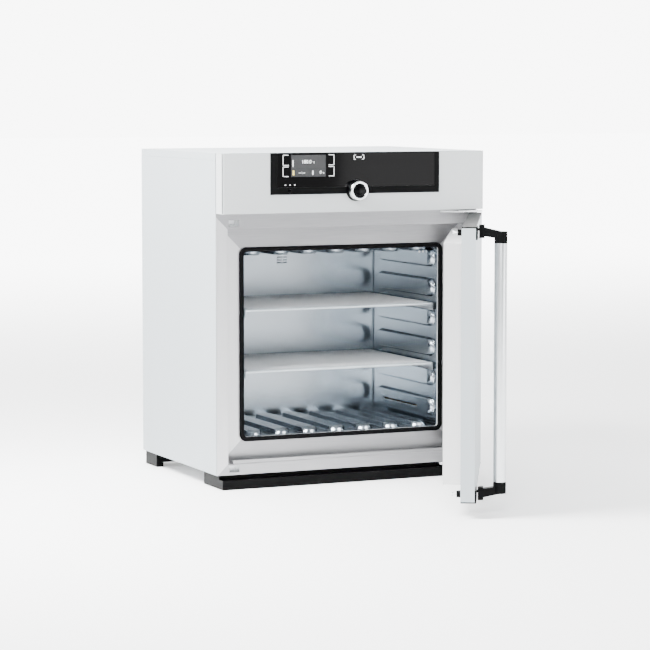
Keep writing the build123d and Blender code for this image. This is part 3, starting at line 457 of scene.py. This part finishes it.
chamber_floor_level = float(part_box("chamber_floor")[0][2]) + pressing_depth
lowest_rib = 0.049  # above the chamber floor
side_ribs = chamber_floor_level + lowest_rib + rib_step * np.arange(6)
floor_ribs = rib_step * np.arange(-3, 4)
slot_step = 0.0345
slot_row_middle = 0.244
slot_half_length = 0.014
slot_half_height = 0.002
slot_drop = 0.005  # below the lowest rib's middle line
slot_middles = slot_row_middle + slot_step * (np.arange(6) - 2.5)
air_slots = (
    slot_middles[:, None] + np.array([-slot_half_length, slot_half_length]),
    side_ribs[0] - slot_drop + np.array([-slot_half_height, slot_half_height]),
)
ribbed_wall("chamber_left_wall", (1.0, 0.0, 0.0), side_ribs)
ribbed_wall("chamber_right_wall", (-1.0, 0.0, 0.0), side_ribs, air_slots)
ribbed_wall("chamber_floor", (0.0, 0.0, 1.0), floor_ribs)
ribbed_wall("chamber_ceiling", (0.0, 0.0, -1.0), floor_ribs)
wear(chamber_steel, "chamber_rear_wall")

# ---------------------------------------------------------------------------------------------
# Door seal: one black silicone moulding round the chamber opening, with a soft D-shaped section
# that the door's bulge presses on.
# ---------------------------------------------------------------------------------------------

seal_rubber = Finish("seal_rubber", (0.001, 0.001, 0.001), 0.0, 0.5, specular_ior_level=0.05)
skin = seal_rubber.noise(420.0, detail=3.0)
seal_rubber.feed("Base Color", seal_rubber.mix(skin, (0.0006, 0.0006, 0.0008), (0.0015, 0.0015, 0.0018)))
seal_rubber.feed("Roughness", skin * 0.2 + 0.4)
seal_rubber.relief(skin, 0.00008)

seal_band = 0.012
corner_radius = 0.0135
section_power = 0.7  # below one, it squares the round section


def rounded_path(low, high, radius, steps):
    """Points and outward directions round a rectangle with quarter-circle corners, in X and Z."""
    turn = np.linspace(0.0, np.pi / 2, steps)
    middles = np.array([
        [high[0] - radius, high[1] - radius], [low[0] + radius, high[1] - radius],
        [low[0] + radius, low[1] + radius], [high[0] - radius, low[1] + radius],
    ])
    angles = turn[None, :] + np.arange(4)[:, None] * np.pi / 2
    out = np.stack([np.cos(angles), np.sin(angles)], axis=-1)
    return (middles[:, None, :] + radius * out).reshape(-1, 2), out.reshape(-1, 2)


half_band = seal_band / 2
path, outward = rounded_path(
    (seal_low[0] + half_band, seal_low[2] + half_band),
    (seal_high[0] - half_band, seal_high[2] - half_band), corner_radius, 14,
)
turn = np.linspace(0.0, 2 * np.pi, 22, endpoint=False)
section_out = half_band * np.sign(np.cos(turn)) * np.abs(np.cos(turn)) ** section_power
section_up = np.sign(np.sin(turn)) * np.abs(np.sin(turn)) ** section_power
rise = float(seal_high[1] - seal_low[1])
section_rise = rise * np.clip(0.5 + 0.5 * section_up, 0.0, 1.0)
seal_points = np.zeros((len(path), len(turn), 3))
seal_points[..., 0] = path[:, None, 0] + outward[:, None, 0] * section_out
seal_points[..., 2] = path[:, None, 1] + outward[:, None, 1] * section_out
seal_points[..., 1] = seal_high[1] - section_rise
seal = shaped(
    "door_seal_moulding", seal_points, grid_faces(len(path), len(turn), True, True), seal_rubber
)
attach(seal, "cabinet")
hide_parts("door_seal")

# ---------------------------------------------------------------------------------------------
# Shelves: perforated stainless decks on the side ribs. Their sides are folded down deep and their
# front and rear edges shallow, over rounded bends.
# ---------------------------------------------------------------------------------------------

shelf_steel = Finish("shelf_steel", (0.72, 0.76, 0.79), 0.6, 0.36)
polish = shelf_steel.noise(300.0, (0.05, 1.0, 1.0))
# painted highlight: the rims of the holes are painted white, brighter than the deck
painted_rim_highlight = shelf_steel.node("ShaderNodeAttribute", {"attribute_name": "rim"}, output="Fac")
deck_tone = shelf_steel.mix(polish, (0.40, 0.44, 0.47), (0.48, 0.52, 0.55))
shelf_steel.feed("Base Color", shelf_steel.mix(painted_rim_highlight, deck_tone, (1.0, 1.0, 1.0)))
shelf_steel.feed("Roughness", polish * 0.1 + 0.28)

hole_step = 0.010
hole_radius = 0.0027
collar_radius = 0.0040
collar_rise = 0.0020
shelf_corner = 0.006
bend_radius = 0.003
shelf_sheet = 0.0013
shallow_rim = 0.006
plain_sides = 0.020  # both side borders without holes, together
plain_ends = 0.016


def perforated_cells(columns, rows, left, front):
    """Square cells in rows: quads from a cell's border to a ring, and up its collar to the hole."""
    turn = np.arange(8) * np.pi / 4
    round_ring = np.stack([np.cos(turn), np.sin(turn)], axis=-1)
    border = np.array([[1, 0], [1, 1], [0, 1], [-1, 1], [-1, 0], [-1, -1], [0, -1], [1, -1]])
    ring = np.concatenate([
        hole_radius * round_ring, collar_radius * round_ring, border * hole_step / 2
    ])
    centre_x, centre_y = np.meshgrid(
        left + hole_step * (np.arange(columns) + 0.5), front + hole_step * (np.arange(rows) + 0.5)
    )
    centres = np.stack([centre_x.ravel(), centre_y.ravel()], axis=-1)
    flat = centres[:, None, :] + ring[None, :, :]
    rise = np.broadcast_to(np.where(np.arange(24) < 8, collar_rise, 0.0), flat.shape[:2])
    points = np.concatenate([flat, rise[..., None]], axis=-1).reshape(-1, 3)
    near = np.arange(8)
    collar = np.stack([near, (near + 1) % 8, 8 + (near + 1) % 8, 8 + near], axis=-1)
    cell = np.concatenate([collar, collar + 8])
    faces = (cell[None, :, :] + 24 * np.arange(len(centres))[:, None, None]).reshape(-1, 4)
    return points, faces


def shelf(node, body):
    """A deck of cells, and a border strip that bends over the edge and hangs down as the rims."""
    low, high = (np.array(corner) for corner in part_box(node))
    columns = int((high[0] - low[0] - plain_sides) // hole_step)
    rows = int((high[1] - low[1] - plain_ends) // hole_step)
    left = (low[0] + high[0] - columns * hole_step) / 2
    front = (low[1] + high[1] - rows * hole_step) / 2
    deck, deck_faces = perforated_cells(columns, rows, left, front)
    level = high[2] - collar_rise
    deck[:, 2] += level

    # the border: points round the cells, each with its partner on the shelf's rounded outline
    right, back = left + columns * hole_step, front + rows * hole_step
    half_step = hole_step / 2
    along_x = np.arange(1, 2 * columns) * half_step
    along_y = np.arange(1, 2 * rows) * half_step
    arc = np.linspace(0.0, np.pi / 2, 6)
    inner, outer, out, deep = [], [], [], []
    sides = (
        ((right, front), (0, 1), along_y, (1, 0), high[0], 1.0),
        ((right, back), (-1, 0), along_x, (0, 1), high[1], 0.0),
        ((left, back), (0, -1), along_y, (-1, 0), low[0], 1.0),
        ((left, front), (1, 0), along_x, (0, -1), low[1], 0.0),
    )
    for number, (start, heading, steps, normal, limit, depth) in enumerate(sides):
        run = np.array(start) + steps[:, None] * np.array(heading)
        edge = run.copy()
        edge[:, 0 if normal[0] else 1] = limit
        corner = run[-1] + half_step * np.array(heading)
        following = np.array(sides[(number + 1) % 4][3])
        wanted = np.sign(np.array(normal) + following)
        arc_middle = np.where(
            wanted > 0, np.array([high[0], high[1]]) - shelf_corner,
            np.array([low[0], low[1]]) + shelf_corner,
        )
        away = np.cos(arc)[:, None] * np.array(normal) + np.sin(arc)[:, None] * following
        inner += [run, np.repeat(corner[None, :], len(arc), axis=0)]
        outer += [edge, arc_middle + shelf_corner * away]
        out += [np.repeat([normal], len(run), axis=0), away]
        turn_share = arc / (np.pi / 2)
        deep += [np.full(len(run), depth), np.where(depth > 0.5, turn_share < 0.5, turn_share > 0.5)]
    inner, outer, out = (np.concatenate(part).astype(float) for part in (inner, outer, out))
    deep = np.concatenate(deep).astype(float)
    depth = shallow_rim + deep * (level - low[2] - shallow_rim)
    bend = np.linspace(0.0, np.pi / 2, 5)
    strip = [np.column_stack([inner, np.full(len(inner), level)])]
    for angle in bend:
        place = outer - out * bend_radius * (1 - np.sin(angle))
        strip.append(np.column_stack([
            place, np.full(len(place), level - bend_radius * (1 - np.cos(angle)))
        ]))
    strip.append(np.column_stack([outer, level - depth]))
    strip = np.stack(strip)
    strip_faces = grid_faces(strip.shape[0], strip.shape[1], close_columns=True) + len(deck)
    points = np.concatenate([deck, strip.reshape(-1, 3)])
    piece = shaped(
        node + "_deck", points, np.concatenate([deck_faces, strip_faces]), shelf_steel
    )
    if sum(face.normal.z * face.area for face in piece.data.polygons) < 0:
        piece.data.flip_normals()
    # painted highlight: points raised on the hole collars get the 'rim' attribute, which paints
    # shelf_steel white there
    place = np.zeros(len(piece.data.vertices) * 3)
    piece.data.vertices.foreach_get("co", place)
    rim = piece.data.attributes.new("rim", "FLOAT", "POINT")
    rim.data.foreach_set("value", (place[2::3] > level + collar_rise / 2).astype(float))
    thicken = piece.modifiers.new("sheet", "SOLIDIFY")
    thicken.thickness = shelf_sheet
    thicken.offset = -1.0
    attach(piece, body)
    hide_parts(node)


shelf("upper_shelf", "top_shelf")
shelf("lower_shelf", "bottom_shelf")

# ---------------------------------------------------------------------------------------------
# Control fascia: a satin sheet folded round its ends, under the lid, with the black cockpit on it.
# The bezel is a gloss moulding that wraps over the lid's front edge and holds the touch glass.
# ---------------------------------------------------------------------------------------------

fascia_steel = Finish("fascia_steel", (0.60, 0.62, 0.615), 0.5, 0.42)
satin = fascia_steel.noise(800.0, (0.05, 1.0, 1.0), 3.0)
fascia_steel.feed("Base Color", fascia_steel.mix(satin, (0.42, 0.44, 0.445), (0.48, 0.50, 0.505)))
fascia_steel.feed("Roughness", satin * 0.12 + 0.36)
fascia_steel.relief(satin, 0.00002)
folded("control_fascia", "cabinet", fascia_steel, 0.0011)

black_plastic = Finish("black_plastic", (0.002, 0.002, 0.002), 0.0, 0.42, specular_ior_level=0.05)
leather = black_plastic.noise(1100.0, detail=2.0)
black_plastic.feed("Base Color", black_plastic.mix(
    leather, (0.0007, 0.0008, 0.0009), (0.0016, 0.0017, 0.0018)
))
black_plastic.feed("Roughness", leather * 0.16 + 0.36)
black_plastic.relief(leather, 0.00006)
folded("cockpit_bezel", "cabinet", black_plastic, 0.0006)

black_gloss = Finish("black_gloss", (0.0005, 0.0005, 0.0005), 0.0, 0.06, specular_ior_level=0.06)
smear = black_gloss.noise(14.0, detail=4.0)
black_gloss.feed("Roughness", smear * 0.06 + 0.04)
black_gloss.feed("Base Color", black_gloss.mix(smear, (0.0004, 0.0004, 0.0005), (0.0009, 0.0009, 0.0011)))
folded("cockpit_glass", "cabinet", black_gloss, 0.0004, 2)

# ---------------------------------------------------------------------------------------------
# Display: a grey liquid-crystal window, lit from behind, with pale numerals, and small printed
# signs on the glass round it: four key brackets, three small dots and a bracketed cell sign.
# ---------------------------------------------------------------------------------------------

display_face = Finish("display", (0.02, 0.021, 0.022), 0.0, 0.3, specular_ior_level=0.2)
cell_pitch = 9000.0  # radians a metre
columns_of_cells = (display_face.axis("X") * cell_pitch).sine()
rows_of_cells = (display_face.axis("Z") * cell_pitch).sine()
display_face.feed("Base Color", display_face.mix(
    columns_of_cells * rows_of_cells * 0.5 + 0.5, (0.016, 0.017, 0.018), (0.024, 0.025, 0.027)
))
folded("display_module", "cabinet", display_face, 0.0003, 2)

print_pale = Finish("pale_print", (0.75, 0.76, 0.76), 0.0, 0.5)
print_pale.feed("Base Color", print_pale.mix(
    print_pale.noise(900.0), (0.70, 0.71, 0.71), (0.80, 0.81, 0.81)
))
numeral_light = Finish("numeral_light", (0.8, 0.82, 0.82), 0.0, 0.5, emission_color=(1.0, 1.0, 1.0))
numeral_light.feed("Emission Strength", 0.9)
numeral_light.feed("Emission Color", numeral_light.mix(
    numeral_light.noise(600.0), (0.85, 0.9, 0.9), (1.0, 1.0, 1.0)
))
cell_grey = Finish("cell_grey", (0.028, 0.028, 0.03), 0.0, 0.35, specular_ior_level=0.15)
cell_grey.feed("Base Color", cell_grey.mix(
    cell_grey.noise(60.0), (0.024, 0.0245, 0.0255), (0.034, 0.0345, 0.0355)
))
flame_yellow = Finish("symbol_yellow", (0.62, 0.5, 0.12), 0.0, 0.45)
flame_yellow.feed("Base Color", flame_yellow.mix(
    flame_yellow.noise(300.0), (0.55, 0.42, 0.08), (0.7, 0.6, 0.18)
))

glass_face = float(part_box("cockpit_glass")[0][1])
print_thickness = 0.00015
print_root = 0.0001  # how far a sign reaches into the glass


def plate(name, left, right, low, high, finish, lift=0.0, radius=0.0008):
    """A thin flat sign: a rounded rectangle of points and its middle, drawn out to the viewer."""
    radius = min(radius, (right - left) / 2.01, (high - low) / 2.01)
    path, _ = rounded_path((left, low), (right, high), radius, 5)
    middle = np.repeat([[(left + right) / 2, (low + high) / 2]], len(path), axis=0)
    front = glass_face - lift - print_thickness
    rear = glass_face - lift + print_root
    rings = np.stack([middle, path, path, middle])
    depth = np.broadcast_to(np.array([front, front, rear, rear])[:, None], rings.shape[:2])
    points = np.stack([rings[..., 0], depth, rings[..., 1]], axis=-1)
    piece = shaped(name, points, grid_faces(4, len(path), close_columns=True), finish)
    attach(piece, "cabinet")


def bracket(name, tip, upright, low, high):
    """A printed bracket: two strokes from tip to upright, and one along the upright."""
    left, right = min(tip, upright), max(tip, upright)
    side = upright if upright < tip else upright - stroke
    plate(name + "_low", left, right, low, low + stroke, print_pale, 0.0, stroke_radius)
    plate(name + "_high", left, right, high - stroke, high, print_pale, 0.0, stroke_radius)
    plate(name + "_side", side, side + stroke, low, high, print_pale, 0.0, stroke_radius)


def numerals(name, text, height, x, z):
    """Flat generic characters: drawn as text, made a mesh, then stood up at their place."""
    curve = bpy.data.curves.new(name, "FONT")
    curve.body = text
    curve.size = height
    curve.align_x = "CENTER"
    curve.align_y = "CENTER"
    drawing = bpy.data.objects.new(name + "_drawing", curve)
    bpy.context.scene.collection.objects.link(drawing)
    mesh = bpy.data.meshes.new_from_object(drawing)
    bpy.data.objects.remove(drawing)
    flat = np.zeros(len(mesh.vertices) * 3)
    mesh.vertices.foreach_get("co", flat)
    flat = flat.reshape(-1, 3)
    depth = np.full(len(flat), glass_face - numeral_lift)
    stood = np.column_stack([flat[:, 0] + x, depth, flat[:, 1] + z])
    mesh.vertices.foreach_set("co", stood.ravel())
    mesh.materials.clear()
    mesh.materials.append(numeral_light.material)
    mesh.update()
    piece = bpy.data.objects.new(name, mesh)
    bpy.context.scene.collection.objects.link(piece)
    if sum(face.normal.y * face.area for face in mesh.polygons) > 0:
        mesh.flip_normals()
    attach(piece, "cabinet")


# the screen: one wide cell above two narrow ones
screen_low, screen_high = (np.array(corner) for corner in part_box("display_module"))
left, right = float(screen_low[0]), float(screen_high[0])
bottom, top = float(screen_low[2]), float(screen_high[2])
margin = 0.002
cell_split = left + 0.053
row_split = bottom + 0.021
line_half = 0.001
for tag, x0, x1, z0, z1 in (
    ("upper", left + margin, right - margin, row_split + line_half, top - margin),
    ("lower_left", left + margin, cell_split - line_half, bottom + margin, row_split - line_half),
    ("lower_right", cell_split + line_half, right - margin, bottom + margin, row_split - line_half),
):
    plate(f"screen_{tag}_cell", x0, x1, z0, z1, cell_grey)

# its values and small signs: name, text, height and middle from the screen's left and bottom
numeral_lift = 0.0004
for tag, text, height, x, z in (
    ("main_value", "180.0", 0.0125, left + 0.043, 0.038),
    ("main_unit", "°C", 0.006, left + 0.063, 0.0365),
    ("timer_value", "--:--", 0.012, left + 0.030, 0.011),
    ("flap_value", "0", 0.011, right - 0.015, 0.011),
    ("flap_unit", "%", 0.006, right - 0.007, 0.0095),
):
    numerals(tag, text, height, x, bottom + z)
sign_lift = 0.0003
for tag, x0, x1, z0, z1, finish, radius in (
    ("heat_sign", 0.004, 0.009, 0.004, 0.017, flame_yellow, 0.002),
    ("value_scale", 0.004, 0.0065, 0.026, 0.043, print_pale, 0.001),
    ("flap_sign", 0.059, 0.0625, 0.005, 0.016, print_pale, 0.0015),
):
    plate(tag, left + x0, left + x1, bottom + z0, bottom + z1, finish, sign_lift, radius)

# signs printed on the glass: key brackets beside the screen, three dots, and the cell sign
stroke = 0.0014
stroke_radius = 0.0004
for number, (tip, upright) in enumerate(((-0.190, -0.206), (-0.078, -0.062))):
    for row, (low, high) in enumerate(((0.8028, 0.8284), (0.8312, 0.8584))):
        bracket(f"key_{number}_{row}", tip, upright, low, high)
dot_half_width = 0.002
dot_low, dot_high = 0.7805, 0.7825
for number, x in enumerate((-0.199, -0.186, -0.173)):
    plate(
        f"small_sign_{number}", x - dot_half_width, x + dot_half_width, dot_low, dot_high,
        print_pale, 0.0, 0.001,
    )
link_low, link_high = 0.8445, 0.8571
bracket("link_left", -0.0005, -0.0065, link_low, link_high)
bracket("link_right", 0.0168, 0.0228, link_low, link_high)
link_cell = 0.0019
link_cell_low, link_cell_high = 0.8490, 0.8526
for number, x in enumerate((0.003, 0.0081, 0.0132)):
    plate(
        f"link_cell_{number}", x - link_cell, x + link_cell, link_cell_low, link_cell_high,
        print_pale, 0.0, 0.0006,
    )

# ---------------------------------------------------------------------------------------------
# Turn control: a black flared boss, a bright metal ring that turns, and a domed black button in
# it that confirms. All three are turned parts on one axis.
# ---------------------------------------------------------------------------------------------


def softened(corners, radius, steps=6):
    """A closed profile whose corners are rounded: each becomes the parabola between two points
    that lie radius, or at most 0.45 of the side, back from the corner."""
    corners = np.array(corners, dtype=float)
    before = np.roll(corners, 1, axis=0) - corners
    after = np.roll(corners, -1, axis=0) - corners
    reach_before = np.minimum(radius / np.linalg.norm(before, axis=1), 0.45)[:, None]
    reach_after = np.minimum(radius / np.linalg.norm(after, axis=1), 0.45)[:, None]
    start = (corners + before * reach_before)[:, None, :]
    end = (corners + after * reach_after)[:, None, :]
    t = np.linspace(0.0, 1.0, steps)[None, :, None]
    middle = corners[:, None, :]
    return ((1 - t) ** 2 * start + 2 * t * (1 - t) * middle + t ** 2 * end).reshape(-1, 2)


def turned(name, profile, centre, axis, finish, around=72, closed=True):
    """A profile of (radius, distance along the axis) carried round the axis in equal turns."""
    angle = np.linspace(0.0, 2 * np.pi, around, endpoint=False)[None, :]
    radius, along = profile[:, 0:1], profile[:, 1:2] + 0.0 * angle
    first, second = radius * np.cos(angle), radius * np.sin(angle)
    if axis == "Y":
        points = np.stack([centre[0] + first, along, centre[2] + second], axis=-1)
    else:
        points = np.stack([centre[0] + first, centre[1] + second, along], axis=-1)
    return shaped(name, points, grid_faces(len(profile), around, closed, True), finish)


ring_low, ring_high = (np.array(corner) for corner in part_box("turn_ring"))
knob_centre = (ring_low + ring_high) / 2
boss_low, boss_high = (np.array(corner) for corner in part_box("knob_boss"))
boss_front, boss_rear = float(boss_low[1]), float(boss_high[1])
ring_front, ring_rear = float(ring_low[1]), boss_front - 0.0008

boss = turned("knob_boss_moulding", softened([
    (0.0083, boss_rear), (0.028, boss_rear), (0.0275, boss_rear - 0.003), (0.0255, boss_front),
    (0.0083, boss_front),
], 0.0012), knob_centre, "Y", black_gloss)
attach(boss, "cabinet")
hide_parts("knob_boss")

ring_chrome = Finish("ring_chrome", (0.80, 0.81, 0.82), 1.0, 0.16)
lathe = ring_chrome.noise(900.0, (1.0, 0.02, 1.0), 2.0)
ring_chrome.feed("Base Color", ring_chrome.mix(lathe, (0.74, 0.75, 0.76), (0.86, 0.87, 0.88)))
ring_chrome.feed("Roughness", lathe * 0.12 + 0.1)
ring_chrome.relief(lathe, 0.00001)
ring = turned("turn_ring_rim", softened([
    (0.0085, ring_rear), (0.025, ring_rear), (0.025, ring_front), (0.0182, ring_front),
    (0.0178, ring_rear - 0.003), (0.0085, ring_rear - 0.003),
], 0.0022), knob_centre, "Y", ring_chrome, 96)
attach(ring, "ring")
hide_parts("turn_ring")

button_front = float(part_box("confirm_button")[0][1])
button_rear = ring_rear - 0.0068
dome_radius = 0.0155
dome_drop = 0.0012
dome = np.linspace(0.0, dome_radius, 9)
button_profile = np.concatenate([
    np.column_stack([dome, button_front + dome_drop * (dome / dome_radius) ** 2]),
    [(0.0168, button_front + 0.0022), (0.0174, button_front + 0.0036), (0.0175, button_rear)],
    [(0.0, button_rear)],
])
button = turned("confirm_cap", button_profile, knob_centre, "Y", black_gloss, 72, closed=False)
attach(button, "confirm")
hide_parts("confirm_button")

power_low, power_high = (np.array(corner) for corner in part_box("power_button"))
power_play = 0.0003
power_edge = 0.0008
power_radius = float(power_high[0] - power_low[0]) / 2 - power_play
power_front, power_rear = float(power_low[1]), float(power_high[1])
power_cap = turned("power_button_cap", np.array([
    (0.0, power_front), (power_radius - power_edge, power_front),
    (power_radius - power_edge / 4, power_front + power_edge / 4),
    (power_radius, power_front + power_edge), (power_radius, power_rear), (0.0, power_rear),
]), (power_low + power_high) / 2, "Y", black_gloss, 48, closed=False)
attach(power_cap, "power")
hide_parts("power_button")
wear(black_plastic, "encoder")

board_green = Finish("board_green", (0.02, 0.16, 0.06), 0.0, 0.4)
tracks = board_green.node(
    "ShaderNodeTexVoronoi", {"distance": "MANHATTAN"}, {"Vector": board_green.place, "Scale": 240.0}
)
board_green.feed("Base Color", board_green.mix(
    board_green.between(tracks, 0.2, 0.3), (0.03, 0.22, 0.08), (0.015, 0.12, 0.045)
))
wear(board_green, "control_board", "power_board")

# ---------------------------------------------------------------------------------------------
# Hinge: two tapered zinc-plated tongues that hold the pins ahead of the frame, with plastic
# bushes in the door's ends.
# ---------------------------------------------------------------------------------------------

for plate_node in ("upper_hinge_plate", "lower_hinge_plate"):
    folded(plate_node, "cabinet", zinc_steel, 0.0007)
wear(zinc_steel, "hinge_spacer", "hinge_pins")

bush_plastic = Finish("bush_plastic", (0.62, 0.61, 0.57), 0.0, 0.45)
bush_plastic.feed("Base Color", bush_plastic.mix(
    bush_plastic.noise(90.0), (0.56, 0.55, 0.51), (0.68, 0.67, 0.63)
))
wear(bush_plastic, "hinge_bushes", "shaft_bearings")

# ---------------------------------------------------------------------------------------------
# Door: an outer skin of structured steel round a foam core, closed by a brushed inner panel whose
# bulge fills the frame's recess. Black caps cover its ends.
# ---------------------------------------------------------------------------------------------

door_steel = Finish("door_steel", (0.78, 0.77, 0.75), 1.0, 0.34)
strokes = door_steel.noise(700.0, (1.0, 1.0, 0.02), 3.0)
door_steel.feed("Base Color", door_steel.mix(strokes, (0.60, 0.60, 0.60), (0.70, 0.70, 0.70)))
door_steel.feed("Roughness", strokes * 0.16 + 0.28)
door_steel.relief(strokes, 0.00002)
folded("door_outer_skin", "door", structured_steel, 0.0014)
folded("door_inner_panel", "door", door_steel, 0.003)
for cap in ("door_top_cap", "door_bottom_cap"):
    folded(cap, "door", black_plastic, 0.0008)

mineral_wool = Finish("mineral_wool", (0.42, 0.36, 0.24), 0.0, 0.95)
fibres = mineral_wool.noise(260.0, (1.0, 0.3, 1.0), 5.0)
mineral_wool.feed("Base Color", mineral_wool.mix(fibres, (0.30, 0.25, 0.16), (0.52, 0.46, 0.32)))
mineral_wool.relief(fibres, 0.001)
wear(mineral_wool, "door_insulation", "insulation")

# ---------------------------------------------------------------------------------------------
# Handle and latch: an upright tube of satin aluminium between two black moulded arms. Inside the
# door a steel shaft turns two pins, each in a black guide.
# ---------------------------------------------------------------------------------------------

satin_aluminium = Finish("satin_aluminium", (0.78, 0.79, 0.80), 1.0, 0.3)
drawn = satin_aluminium.noise(800.0, (1.0, 1.0, 0.01), 3.0)
satin_aluminium.feed("Base Color", satin_aluminium.mix(drawn, (0.60, 0.62, 0.63), (0.72, 0.74, 0.75)))
satin_aluminium.feed("Roughness", drawn * 0.14 + 0.24)
satin_aluminium.relief(drawn, 0.00001)
grip_low, grip_high = (np.array(corner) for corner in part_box("handle_grip"))
grip_radius = float(grip_high[0] - grip_low[0]) / 2
grip_bottom, grip_top = float(grip_low[2]), float(grip_high[2])
grip_wall = 0.0015
grip = turned("handle_grip_tube", softened([
    (grip_radius - grip_wall, grip_bottom), (grip_radius, grip_bottom),
    (grip_radius, grip_top), (grip_radius - grip_wall, grip_top),
], 0.0006, 4), (grip_low + grip_high) / 2, "Z", satin_aluminium, 64)
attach(grip, "handle")
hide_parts("handle_grip")
for arm in ("upper_handle_arm", "lower_handle_arm"):
    folded(arm, "handle", black_plastic, 0.0025, 4)
folded("latch_collars", "handle", black_plastic, 0.0008)
wear(zinc_steel, "latch_shaft", "upper_latch_hook", "lower_latch_hook")

# ---------------------------------------------------------------------------------------------
# Stand: a black moulded plinth with a set-back upper step in front, and a rail with two feet at
# the rear.
# ---------------------------------------------------------------------------------------------

for stand in ("front_plinth", "rear_feet"):
    folded(stand, "cabinet", black_plastic, 0.0015)

# ---------------------------------------------------------------------------------------------
# Rear: the exhaust tube of rolled stainless, with a thin neck through the rear panel, a wider stub
# behind it and a flap inside, and the moulded mains inlet and network port.
# ---------------------------------------------------------------------------------------------

tube_low, tube_high = (np.array(corner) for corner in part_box("exhaust_tube"))
tube_radius = float(tube_high[0] - tube_low[0]) / 2
tube_inside = tube_radius - 0.0015
neck_radius = tube_radius - 0.00055
stub_start = 0.547
tube = turned("exhaust_tube_rolled", softened([
    (tube_inside, float(tube_low[1])), (neck_radius, float(tube_low[1])),
    (neck_radius, stub_start), (tube_radius, stub_start),
    (tube_radius, float(tube_high[1])), (tube_inside, float(tube_high[1])),
], 0.0002, 4), (tube_low + tube_high) / 2, "Y", chamber_steel, 72)
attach(tube, "cabinet")
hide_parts("exhaust_tube")
wear(zinc_steel, "exhaust_flap")
for socket in ("mains_inlet", "network_port"):
    folded(socket, "cabinet", black_plastic, 0.0006, 2)

# ---------------------------------------------------------------------------------------------
# Heaters: flat mica-insulated elements on the outside of the chamber's walls, floor and ceiling.
# ---------------------------------------------------------------------------------------------

heater_mica = Finish("heater_mica", (0.38, 0.30, 0.20), 0.0, 0.6)
flakes = heater_mica.node(
    "ShaderNodeTexVoronoi", {}, {"Vector": heater_mica.place, "Scale": 180.0}, "Distance"
)
heater_mica.feed("Base Color", heater_mica.mix(flakes, (0.46, 0.37, 0.25), (0.28, 0.21, 0.13)))
wear(heater_mica, "side_heaters", "floor_heater", "ceiling_heater")
